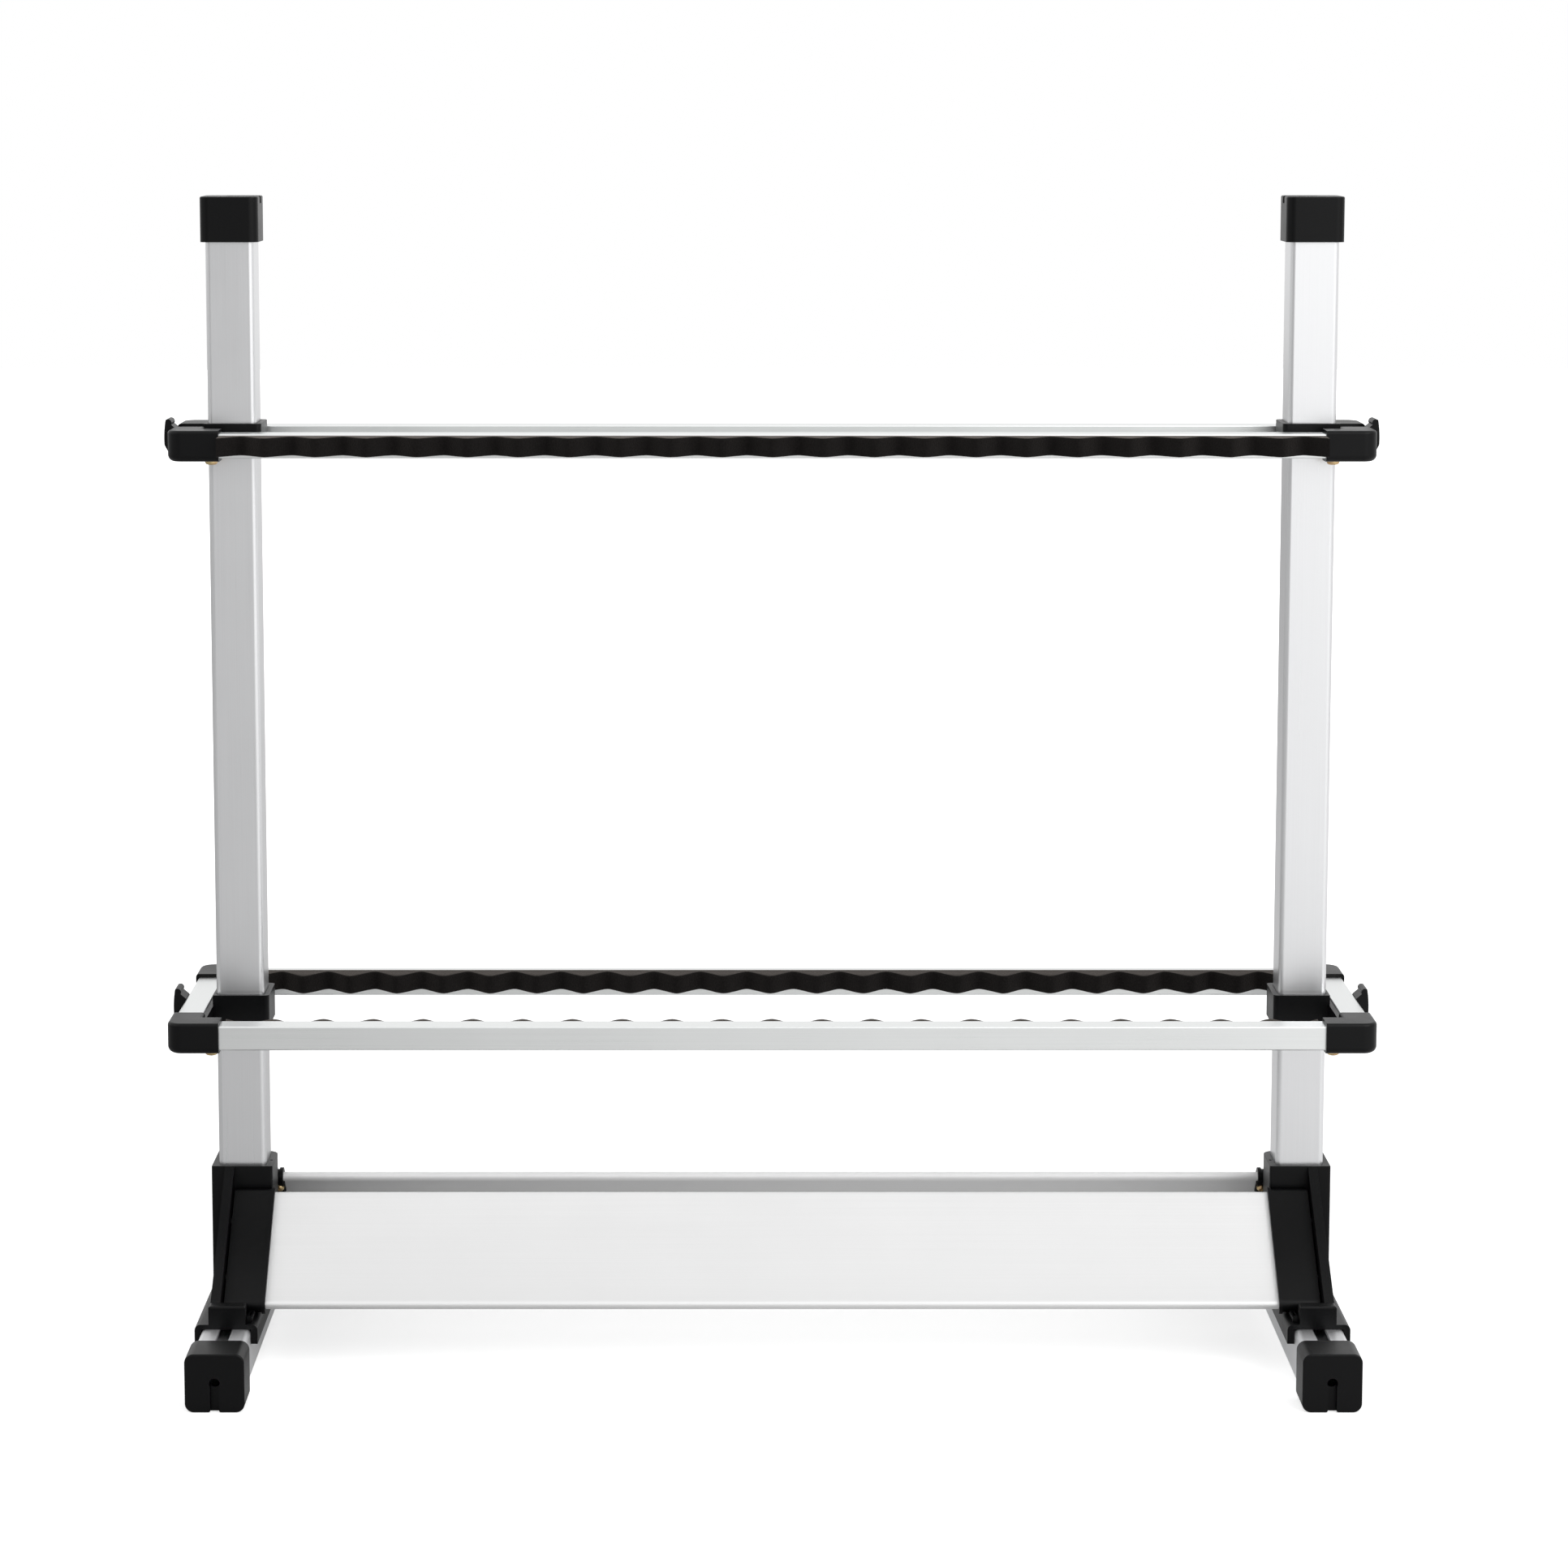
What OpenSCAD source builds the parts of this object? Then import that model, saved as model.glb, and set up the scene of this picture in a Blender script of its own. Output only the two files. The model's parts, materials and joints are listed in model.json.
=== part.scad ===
// Free-standing rack for fishing rods: two slotted aluminium posts on slotted feet, two rail rings
// with notched foam strips that hold the rods, and two tilted panels that the rod butts rest on.
// Millimetres, +X to the right, +Y to the back, +Z up, origin on the floor at the middle of the rack.

/* [Stand] */
// Distance between the centre lines of the two posts
post_span = 670; // [560:1:760]
// Height of the rack, floor to top of the post caps
stand_h = 722; // [680:1:900]
// Length of each foot over its end caps
foot_len = 344; // [300:1:420]

/* [Slotted tube] */
// Outer width of the square tube of posts and feet
tube_w = 30; // [28:0.5:34]
// Corner radius of the tube
tube_r = 3; // [1.5:0.5:4]
// Wall of the tube
tube_wall = 2; // [1.5:0.1:2.4]
// Width of the slot opening
slot_w = 8; // [7:0.1:9]
// Thickness of the two lips beside the slot
slot_lip = 2; // [1.5:0.1:2.5]
// Width of the channel behind the lips
channel_w = 14; // [12.5:0.1:16]
// Depth of the channel behind the lips
channel_d = 5; // [4.5:0.1:6]
// Wall around the channel
channel_wall = 1.5; // [1:0.1:2]

/* [End caps] */
// Side wall of a cap
cap_wall = 3; // [2:0.1:4]
// Length of a cap
cap_len = 28; // [22:0.5:34]
// Thickness of a cap's closed end
cap_end = 6; // [5.5:0.1:8]
// Corner radius of a cap
cap_r = 5.5; // [4:0.1:7]
// Edge radius around a cap's closed end
cap_edge = 1; // [0.4:0.1:1.5]
// Diameter of the hole in a cap's closed end
key_d = 6.4; // [5.8:0.1:7]
// Width of the slot that runs from the hole to one side
key_slot_w = 5.4; // [4:0.1:5.6]
// Depth of that slot
key_slot_d = 4.5; // [3:0.1:5]
// Chamfer where the slot runs out of the cap
key_chamfer = 0.9; // [0.3:0.1:1.5]

/* [Base brackets] */
// Wall of the post socket and of the saddle over the foot
bracket_wall = 4.3; // [3.5:0.1:5]
// Height of the socket's rim above the saddle
socket_h = 75; // [65:1:90]
// Corner radius of the socket
socket_r = 1.5; // [0.5:0.1:3]
// Radius of the socket's corner at the inner back, beside the back panel
socket_back_r = 8; // [2:0.5:9]
// Length of the saddle along the foot
saddle_len = 224; // [210:1:240]
// Thickness of the saddle's roof
saddle_roof = 3; // [2.4:0.1:4]
// How far the saddle's legs reach down the foot's sides
saddle_leg = 9; // [6:0.5:14]
// Outer edge radius of the saddle
saddle_r = 3.5; // [1.5:0.1:4]
// Thickness of the slanted gussets
gusset_t = 6; // [5:0.1:8]
// Height of a gusset's toe above the saddle
gusset_toe_h = 9; // [5:0.5:11]
// Width of the stop block at each end of the saddle
stop_w = 22.5; // [18:0.5:26]
// Thickness of the stop block
stop_t = 9; // [6:0.5:10]
// Height of the stop block above the saddle
stop_h = 11.4; // [11.2:0.1:14]
// Edge radius of the stop block
stop_r = 1.2; // [0.5:0.1:2]
// Diameter of the blind hole in the socket's rim
rim_hole_d = 1.9; // [1:0.1:2.4]
// Depth of that hole
rim_hole_depth = 8; // [4:0.5:12]

/* [Butt panels] */
// Tilt of the panels from level, in degrees
panel_tilt = 40; // [38:0.5:42]
// Width of a panel down its slope
panel_w = 86; // [80:0.5:88]
// Thickness of a panel's plate
panel_t = 2.4; // [1.6:0.1:3]
// Diameter of the beads along a panel's two long edges
bead_d = 6; // [5:0.1:7]
// Diameter of the bore in each bead
bead_bore = 2.6; // [1.5:0.1:3]
// How far a panel's end goes into its end cap
panel_grip = 18; // [12:0.5:20]
// Wall of a panel's end cap
panel_cap_wall = 2; // [1.4:0.1:2.4]
// Gap between a panel's end cap and the gusset
panel_gap = 1; // [0.6:0.1:1.5]
// Diameter of the spigots that hang the panel caps in the gussets
spigot_d = 6; // [5:0.1:7]
// Distance between a cap's two spigots
spigot_pitch = 42; // [30:1:50]
// Width of the rim round the open end of a cap
rim_w = 2.2; // [1.5:0.1:3]
// How far that rim stands out from the cap
rim_out = 1; // [0.5:0.1:1.5]
// How far the tab under a cap reaches along the panel
tab_reach = 3.2; // [3:0.1:5]
// Length of the forked tab that reaches from a cap's nose along the saddle
fork_len = 21; // [16:0.5:22]
// Width of that tab
fork_w = 3.2; // [2.8:0.1:3.6]
// Height of that tab
fork_h = 2.6; // [2:0.1:4]
// Length of the bridge that closes the fork's slot
fork_bridge = 4; // [2:0.1:6]

/* [Rings] */
// Space between a post and the side rail beside it, which the collar fills
collar_side = 4; // [3.6:0.1:8]
// Depth of the lower ring over its corner blocks
lower_depth = 176; // [164:1:194]
// Depth of the upper ring over its corner blocks
upper_depth = 88; // [84:1:104]
// Height of the lower ring's middle above the floor
lower_z = 209; // [180:1:300]
// Height of the upper ring's middle above the floor
upper_z = 570; // [450:1:620]
// Width of a rail
rail_w = 16; // [14:0.1:18]
// Height of a rail
rail_h = 15; // [13:0.1:17]
// Wall of a rail
rail_wall = 1.5; // [1:0.1:2]
// Corner radius of a rail
rail_r = 1; // [0.5:0.1:2]
// Wall of a corner block over the rail
block_wall = 2; // [1.6:0.1:2.6]
// Length of a corner block's legs
block_leg = 32; // [29:0.5:34]
// Outer corner radius of a corner block, seen from above
block_corner_r = 9; // [6:0.1:12]
// Edge radius along the top of a corner block
block_edge = 2; // [1:0.1:2.5]
// Edge radius along the bottom of a corner block
block_low_edge = 4.2; // [2:0.1:4.5]

/* [Collars] */
// Height of a collar
collar_h = 20; // [16:0.5:24]
// Wall of a collar around the post
collar_wall = 3.2; // [2.4:0.1:4]
// Corner radius of a collar
collar_r = 3; // [1:0.1:4]
// How far a collar's middle sits above the ring's middle
collar_rise = 2; // [0:0.1:3]
// Thickness of the flange that joins a collar to the side rail
flange_t = 3; // [2.2:0.1:3.6]
// Height of that flange
flange_h = 13; // [11:0.5:13]

/* [Hooks] */
// How far a hook stands out from the side rail
hook_out = 8; // [7:0.1:10]
// Length of a hook along the side rail
hook_len = 16; // [14:0.5:18]
// How far a hook's tip stands above the side rail
hook_rise = 6.5; // [4:0.1:9]
// Radius of a hook's tip
hook_tip_r = 2.3; // [1.5:0.1:2.6]
// Radius of a hook's convex outer face
hook_belly_r = 70; // [40:1:90]
// Inset of a hook's foot from its belly
hook_foot_in = 3; // [1:0.1:4]

/* [Foam strips] */
// Distance between two notches
notch_pitch = 31; // [28:0.1:33]
// Distance between two notches of the lower back strip
lower_back_pitch = 30.2; // [28:0.1:33]
// Depth of a notch
notch_depth = 13.5; // [8:0.1:15]
// Foam left behind a notch
foam_back = 6; // [4:0.1:8]
// Height of a foam strip
foam_h = 11.6; // [9:0.1:13]
// Sharpness of the wave: 1 would be a zigzag, less is rounder
wave_sharp = 0.88; // [0.7:0.01:0.97]
// How far the lower front strip sits below its rail's top
lower_front_drop = 3; // [0:0.1:3.4]
// How far the lower back strip stands above its rail's top
lower_back_rise = 1.8; // [0:0.1:2]
// How far the upper front strip sits below its rail's top
upper_front_drop = 1; // [0:0.1:3]
// How far the upper back strip sits below its rail's top
upper_back_drop = 2.4; // [0:0.1:3]

/* [Fasteners] */
// Shank diameter of the self-tapping screws
tap_d = 3.5; // [3:0.1:4]
// Head diameter of the self-tapping screws
tap_head_d = 8; // [7:0.1:8.6]
// Head height of the self-tapping screws
tap_head_h = 2.4; // [2:0.1:3]
// How far a corner screw's tip stands inside the rail
tap_tail = 2.5; // [1:0.1:6]
// Distance from a block leg's end to its screw
tap_inset = 5.5; // [4.5:0.1:7]
// Shank diameter of the clamp screws
bolt_d = 5; // [4.5:0.1:5.5]
// Head diameter of the clamp screws
bolt_head_d = 9; // [8.5:0.1:10]
// Head height of the clamp screws
bolt_head_h = 3; // [2.5:0.1:3.5]
// Head height of the screws that are sunk in the sockets
post_head_h = 2.2; // [1.8:0.1:2.4]
// Length of a slot nut
nut_len = 12; // [9:0.5:14]
// Thickness of a slot nut
nut_t = 4; // [3:0.1:4.2]
// Width across the flats of the hex nuts
hex_af = 8; // [7:0.1:8.2]
// Height of the hex nuts
hex_h = 4; // [3:0.1:4.4]
// Distance of the foot bolts from the post's middle
foot_bolt_y = 60; // [54:0.5:64]

/* [Hidden] */
$fn = 48;

// Colours
alu = [0.80, 0.81, 0.82];
panel_alu = [0.88, 0.89, 0.90];
black = [0.10, 0.10, 0.11];
foam_black = [0.16, 0.14, 0.13];
zinc = [0.80, 0.64, 0.30];
steel = [0.62, 0.63, 0.65];

// Clearances
run_gap = 0.3;      // between a collar and the post that it slides on
fit_gap = 0.1;      // between pieces that are pushed together
foam_end_gap = 0.6; // between the end of a foam strip and a corner block
eps = 0.01;         // overshoot of a cut past a face

// Places worked out from the sizes above
post_x = post_span/2;
ring_w = post_span + tube_w + 2*(collar_side + rail_w + block_wall);   // over the corner blocks
foot_low = cap_wall;                             // underside of a foot's tube
foot_top = foot_low + tube_w;
saddle_top = foot_top + saddle_roof;
post_low = saddle_top;                           // a post stands on its saddle
post_len = stand_h - cap_end - post_low;
foot_tube_len = foot_len - 2*cap_end;
cap_w = tube_w + 2*cap_wall;
bracket_w = tube_w + 2*bracket_wall;
socket_half = bracket_w/2;
inner_x = post_x - socket_half;                  // inner face of a socket
gusset_x = post_x + tube_w/2 - gusset_t - bracket_wall;   // inner face of a gusset
panel_cap_x = gusset_x - panel_gap;              // outer end of a panel cap
panel_len = 2*(inner_x + panel_grip);
rail_y = [lower_depth/2 - block_wall - rail_w, upper_depth/2 - block_wall - rail_w];
rail_x = ring_w/2 - block_wall - rail_w;         // inner face of a side rail
block_w = rail_w + 2*block_wall;
block_h = rail_h + 2*block_wall + 0.3;
ring_z = [lower_z, upper_z];
ring_depth = [lower_depth, upper_depth];
slot_face = post_x + tube_w/2;                   // outer face of a post, where its slot opens
nut_w = channel_w - 2*run_gap;
nut_x = slot_face - slot_lip - run_gap - nut_t;  // inner face of a slot nut on a post
screw_gap = 0.1;                                 // between a shank and its hole

// The panel's own frame: u down the slope from the top edge, v out of its upper face
bead_r = bead_d/2;
panel_cap_r = bead_r + panel_cap_wall;
panel_low_z = saddle_top + panel_cap_r + 0.15;   // centre of the lower bead
panel_high_z = panel_low_z + (panel_w - bead_d)*sin(panel_tilt);
panel_high_y = socket_half + panel_cap_r + fit_gap;   // centre of the upper bead
nose_y = panel_high_y + (panel_w - bead_d)*cos(panel_tilt);   // centre of the lower bead
fork_x = gusset_x + gusset_t - stop_w - 0.4 - fork_w;   // forked tab beside the stop block
panel_screw_u = 7.6;                             // down the slope, on the tab under a cap
panel_screw_x = inner_x + 0.4;

// Flat shapes

// Rectangle centred on the origin with round corners
module rounded_rect(w, d, r) {
    square([w - 2*r, d], center = true);
    square([w, d - 2*r], center = true);
    for (x = [-1, 1], y = [-1, 1])
        translate([x*(w/2 - r), y*(d/2 - r)]) circle(r);
}

// Rectangle on its base line with two round upper corners
module arch_rect(w, h, r) {
    translate([-w/2, 0]) square([w, h - r]);
    translate([-w/2 + r, 0]) square([w - 2*r, h]);
    for (x = [-1, 1]) translate([x*(w/2 - r), h - r]) circle(r);
}

// Half of that rectangle, for turning about its axis
module half_arch(radius, h, r) {
    square([radius, h - r]);
    square([radius - r, h]);
    intersection() {
        translate([radius - r, h - r]) circle(r);
        square([radius, h]);
    }
}

// Block with round upright edges of radius r and round top edges of radius e
module soft_block(w, d, h, r, e) {
    rotate([90, 0, 0]) translate([0, 0, -d/2 + r]) linear_extrude(d - 2*r) arch_rect(w, h, e);
    rotate([90, 0, 90]) translate([0, 0, -w/2 + r]) linear_extrude(w - 2*r) arch_rect(d, h, e);
    for (x = [-1, 1], y = [-1, 1])
        translate([x*(w/2 - r), y*(d/2 - r), 0]) rotate_extrude() half_arch(r, h, e);
}

// Straight edges along the top of what it holds rounded by e: a block of w by d, h high
module round_top(w, d, h, e) {
    intersection() {
        children();
        rotate([90, 0, 0]) translate([0, 0, -d/2]) linear_extrude(d) arch_rect(w, h, e);
        rotate([90, 0, 90]) translate([0, 0, -w/2]) linear_extrude(w) arch_rect(d, h, e);
    }
}

// Slotted tube

// Section of the tube; its slot opens towards +X
module tube_section() {
    difference() {
        rounded_rect(tube_w, tube_w, tube_r);
        difference() {
            rounded_rect(tube_w - 2*tube_wall, tube_w - 2*tube_wall, max(tube_r - tube_wall, 0.5));
            translate([tube_w/2 - slot_lip - channel_d - channel_wall, -channel_w/2 - channel_wall])
                square([tube_w, channel_w + 2*channel_wall]);
        }
        translate([tube_w/2 - slot_lip - channel_d, -channel_w/2]) square([channel_d, channel_w]);
        translate([tube_w/2 - slot_lip - 1, -slot_w/2]) square([slot_lip + 2, slot_w]);
    }
}

// Right post, standing on its saddle with the slot outward
module post() {
    color(alu) translate([post_x, 0, post_low]) linear_extrude(post_len) tube_section();
}

// Right foot, lying along Y with the slot upward
module foot() {
    color(alu) translate([post_x, 0, foot_low + tube_w/2])
        rotate([90, 0, 0]) rotate([0, 0, 90]) translate([0, 0, -foot_tube_len/2])
            linear_extrude(foot_tube_len) tube_section();
}

// End cap on a tube that ends at the cap's closed end; local +Z points out of the tube and the
// slot beside the hole runs towards local -X
module end_cap() {
    color(black) difference() {
        soft_block(cap_w, cap_w, cap_len, cap_r, cap_edge);
        translate([0, 0, -eps]) linear_extrude(cap_len - cap_end + eps)
            rounded_rect(tube_w + 2*fit_gap, tube_w + 2*fit_gap, tube_r);
        translate([0, 0, cap_len - cap_end - 1]) cylinder(d = key_d, h = cap_end + 2);
        translate([0, 0, cap_len - key_slot_d]) linear_extrude(key_slot_d + 1) {
            translate([-cap_w, -key_slot_w/2]) square([cap_w, key_slot_w]);
            polygon([
                [-cap_w/2 + key_chamfer, 0], [-cap_w/2 + key_chamfer, key_slot_w/2],
                [-cap_w/2 - 1, key_slot_w/2 + key_chamfer + 1],
                [-cap_w/2 - 1, -key_slot_w/2 - key_chamfer - 1], [-cap_w/2 + key_chamfer, -key_slot_w/2]
            ]);
        }
    }
}

module post_cap() {
    translate([post_x, 0, stand_h - cap_len]) end_cap();
}

// Back cap of the right foot
module foot_cap() {
    translate([post_x, foot_len/2 - cap_len, foot_low + tube_w/2])
        rotate([-90, 0, 0]) rotate([0, 0, -90]) end_cap();
}

// Base

// Slanted side plate of the bracket, drawn in Y and Z, with its toe behind the stop block
module gusset_outline() {
    toe_y = saddle_len/2 - stop_t;
    polygon([
        [0, saddle_top - 1], [toe_y, saddle_top - 1], [toe_y, saddle_top + gusset_toe_h],
        [socket_half, saddle_top + socket_h], [0, saddle_top + socket_h]
    ]);
}

// Place of a panel's own frame for the back panel, with u down the slope and v out of its face
module at_panel() {
    translate([0, panel_high_y, panel_high_z]) rotate([-panel_tilt, 0, 0]) translate([0, -bead_r, bead_r])
        rotate([90, 0, 90]) children();
}

// Outline of the right socket, one corner rounder than the others
module socket_section() {
    difference() {
        rounded_rect(bracket_w, bracket_w, socket_r);
        translate([-socket_half - 1, socket_half - socket_back_r]) square(socket_back_r + 1);
    }
    translate([-socket_half + socket_back_r, socket_half - socket_back_r]) circle(socket_back_r);
}

// Centres of the two spigots along the slope
function spigot_u(i) = panel_w/2 + (i - 0.5)*spigot_pitch;

// Right bracket: socket for the post, saddle over the foot, gussets and stop blocks
module base_bracket() {
    color(black) difference() {
        union() {
            translate([post_x, 0, saddle_top - 1]) round_top(bracket_w, bracket_w, socket_h + 1, 0.5)
                linear_extrude(socket_h + 1) socket_section();
            translate([post_x, saddle_len/2, 0]) rotate([90, 0, 0]) linear_extrude(saddle_len)
                difference() {
                    translate([0, foot_top - saddle_leg])
                        arch_rect(bracket_w, saddle_leg + saddle_roof, saddle_r);
                    translate([-tube_w/2 - fit_gap, 0]) square([tube_w + 2*fit_gap, foot_top]);
                }
            for (s = [0, 1]) mirror([0, s, 0]) {
                translate([gusset_x, 0, 0]) rotate([90, 0, 90]) linear_extrude(gusset_t) gusset_outline();
                translate([gusset_x + gusset_t - stop_w/2, saddle_len/2 - stop_t/2, saddle_top - 1])
                    round_top(stop_w, stop_t, stop_h + 1, stop_r)
                        translate([-stop_w/2, -stop_t/2, 0]) cube([stop_w, stop_t, stop_h + 1]);
            }
        }
        translate([post_x, 0, post_low]) linear_extrude(socket_h + 1)
            rounded_rect(tube_w + 2*fit_gap, tube_w + 2*fit_gap, tube_r);
        for (s = [0, 1]) mirror([0, s, 0]) {
            translate([post_x, foot_bolt_y, foot_top - 1])
                cylinder(r = bolt_d/2 + screw_gap, h = saddle_roof + 2);
            for (i = [0, 1]) at_panel() translate([spigot_u(i), -bead_r, gusset_x - 1])
                cylinder(r = spigot_d/2 + fit_gap, h = gusset_t + 2);
        }
        translate([slot_face - 1, 0, post_screw_z]) rotate([0, 90, 0])
            cylinder(r = bolt_d/2 + screw_gap, h = bracket_wall + 2);
        translate([post_seat_x, 0, post_screw_z]) rotate([0, 90, 0])
            cylinder(r = bolt_head_d/2 + 0.3, h = bracket_wall);
        translate([inner_x + bracket_wall/2, -rim_hole_y, saddle_top + socket_h - rim_hole_depth])
            cylinder(d = rim_hole_d, h = rim_hole_depth + 1);
    }
}
rim_hole_y = 4;                                  // in front of the post's middle
post_screw_z = saddle_top + socket_h/2;
post_seat_x = post_x + socket_half - post_head_h - 0.1;   // where a post screw's head bears

// Section of a panel in its own frame: plate with a bored bead along each long edge
module panel_section() {
    difference() {
        union() {
            translate([bead_r, -panel_t]) square([panel_w - bead_d, panel_t]);
            for (u = [bead_r, panel_w - bead_r]) translate([u, -bead_r]) circle(bead_r);
            for (u = [bead_r, panel_w - bead_r - panel_t]) translate([u, -bead_r]) square([panel_t, bead_r]);
        }
        for (u = [bead_r, panel_w - bead_r]) translate([u, -bead_r]) circle(d = bead_bore);
    }
}

// Back panel
module panel() {
    color(panel_alu) difference() {
        at_panel() translate([0, 0, -panel_len/2]) linear_extrude(panel_len) panel_section();
        for (s = [0, 1]) mirror([s, 0, 0]) at_panel() translate([panel_screw_u, 0, panel_screw_x])
            rotate([90, 0, 0]) translate([0, 0, panel_t - panel_screw_bite])
                cylinder(r = tap_d/2 + screw_gap, h = panel_screw_bite + bead_d);
    }
}
panel_screw_bite = 1.6;                          // how far a screw goes into the plate

// Section of the space round a panel with a wall of the given thickness
module panel_envelope(wall) {
    r = bead_r + wall;
    translate([bead_r, -bead_r - r]) square([panel_w - bead_d, 2*r]);
    for (u = [bead_r, panel_w - bead_r]) translate([u, -bead_r]) circle(r);
}

// Back right panel cap: sleeve over the panel's end with two spigots and a screw tab
module panel_cap() {
    color(black) difference() {
        union() {
            at_panel() translate([0, 0, inner_x - 1]) linear_extrude(panel_cap_x - inner_x + 1)
                panel_envelope(panel_cap_wall);
            at_panel() translate([0, 0, inner_x - fit_gap - rim_w]) linear_extrude(rim_w)
                panel_envelope(panel_cap_wall + rim_out);
            at_panel() translate([bead_r, -bead_d - panel_cap_wall, inner_x - tab_reach])
                cube([panel_screw_u + tap_head_d/2, panel_cap_wall - fit_gap, tab_reach + 1]);
            for (i = [0, 1]) at_panel() translate([spigot_u(i), -bead_r, panel_cap_x - 1])
                cylinder(d = spigot_d, h = panel_gap + gusset_t - 1);
            translate([fork_x, nose_y, panel_low_z - panel_cap_r]) difference() {
                cube([fork_w, fork_len, fork_h]);
                translate([fork_w*0.3, panel_cap_r + 1, -1])
                    cube([fork_w*0.4, fork_len - panel_cap_r - 1 - fork_bridge, fork_h + 2]);
            }
        }
        at_panel() translate([0, 0, inner_x - rim_w - 1]) linear_extrude(panel_grip + rim_w + 1)
            panel_envelope(fit_gap);
        at_panel() translate([panel_screw_u, 0, panel_screw_x]) rotate([90, 0, 0]) {
            cylinder(r = tap_d/2 + screw_gap, h = bead_d + panel_cap_wall + 1);
            translate([0, 0, bead_d + panel_cap_wall]) cylinder(r = panel_head_d/2 + 0.3, h = rim_out + 1);
        }
    }
}

// Fasteners

// Pan-head screw: head from z = 0 up, shank down
module pan_screw(shank_d, shank_l, head_d, head_h) {
    translate([0, 0, -shank_l]) cylinder(d = shank_d, h = shank_l + eps);
    rotate_extrude() intersection() {
        half_arch(head_d/2, head_h, head_h*0.55);
        square([head_d, head_h]);
    }
}

// Nut that slides in a tube's channel, seen from the slot, tapped for a clamp screw
module slot_nut() {
    difference() {
        translate([-nut_w/2, -nut_len/2, 0]) cube([nut_w, nut_len, nut_t]);
        translate([0, 0, -1]) cylinder(r = bolt_d/2 + screw_gap, h = nut_t + 2);
    }
}

module panel_screws() {
    shank_l = bead_d + panel_cap_wall - panel_t + panel_screw_bite - 0.2;
    color(zinc) for (sx = [0, 1], sy = [0, 1]) mirror([sx, 0, 0]) mirror([0, sy, 0])
        at_panel() translate([panel_screw_u, -bead_d - panel_cap_wall, panel_screw_x]) rotate([90, 0, 0])
            pan_screw(tap_d, shank_l, panel_head_d, tap_head_h);
}
panel_head_d = 6;                                // head of a panel screw

module foot_bolts() {
    bolt_low = foot_top - slot_lip - run_gap;
    color(steel) for (sx = [-1, 1], sy = [-1, 1]) translate([sx*post_x, sy*foot_bolt_y, 0]) {
        translate([-nut_w/2, -nut_len/2, bolt_low - nut_t]) cube([nut_w, nut_len, nut_t]);
        translate([0, 0, bolt_low - 1]) cylinder(d = bolt_d, h = saddle_top + hex_h + 1.6 - bolt_low);
    }
}

module foot_nuts() {
    color(steel) for (sx = [-1, 1], sy = [-1, 1]) translate([sx*post_x, sy*foot_bolt_y, saddle_top])
        difference() {
            cylinder(d = hex_af/cos(30), h = hex_h, $fn = 6);
            translate([0, 0, -1]) cylinder(r = bolt_d/2 + screw_gap, h = hex_h + 2);
        }
}

module post_screws() {
    color(zinc) for (s = [0, 1]) mirror([s, 0, 0]) translate([post_seat_x, 0, post_screw_z])
        rotate([0, 90, 0]) pan_screw(bolt_d, post_seat_x - nut_x, bolt_head_d, post_head_h);
}

module post_slot_nuts() {
    color(steel) for (s = [0, 1]) mirror([s, 0, 0]) translate([nut_x, 0, post_screw_z])
        rotate([90, 0, 90]) slot_nut();
}

// Rings; i is 0 for the lower ring and 1 for the upper one

// Section of a rail
module rail_section() {
    difference() {
        rounded_rect(rail_w, rail_h, rail_r);
        rounded_rect(rail_w - 2*rail_wall, rail_h - 2*rail_wall, 0.4);
    }
}

// Distance from the middle of the ring to the screw under each corner block
screw_x = ring_w/2 - block_leg + tap_inset;

// Back rail, its ends against the cores of the corner blocks
module long_rail(i) {
    half = ring_w/2 - block_w;
    color(alu) difference() {
        translate([-half, rail_y[i] + rail_w/2, ring_z[i]]) rotate([90, 0, 90])
            linear_extrude(2*half) rail_section();
        for (s = [-1, 1]) translate([s*screw_x, rail_y[i] + rail_w/2, ring_z[i] - rail_h])
            cylinder(r = tap_d/2 + screw_gap, h = rail_h);
    }
}

// Right rail, drilled for the clamp screw
module side_rail(i) {
    half = ring_depth[i]/2 - block_w;
    color(alu) difference() {
        translate([rail_x + rail_w/2, half, ring_z[i]]) rotate([90, 0, 0])
            linear_extrude(2*half) rail_section();
        translate([rail_x - 1, 0, ring_z[i]]) rotate([0, 90, 0])
            cylinder(r = bolt_d/2 + screw_gap, h = rail_w + 2);
    }
}

// Straight leg of a corner block along +Z, its top towards +Y
module block_leg_shape(length) {
    linear_extrude(length) {
        arch_rect(block_w, block_h/2, block_edge);
        mirror([0, 1]) arch_rect(block_w, block_h/2, block_low_edge);
    }
}

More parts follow.
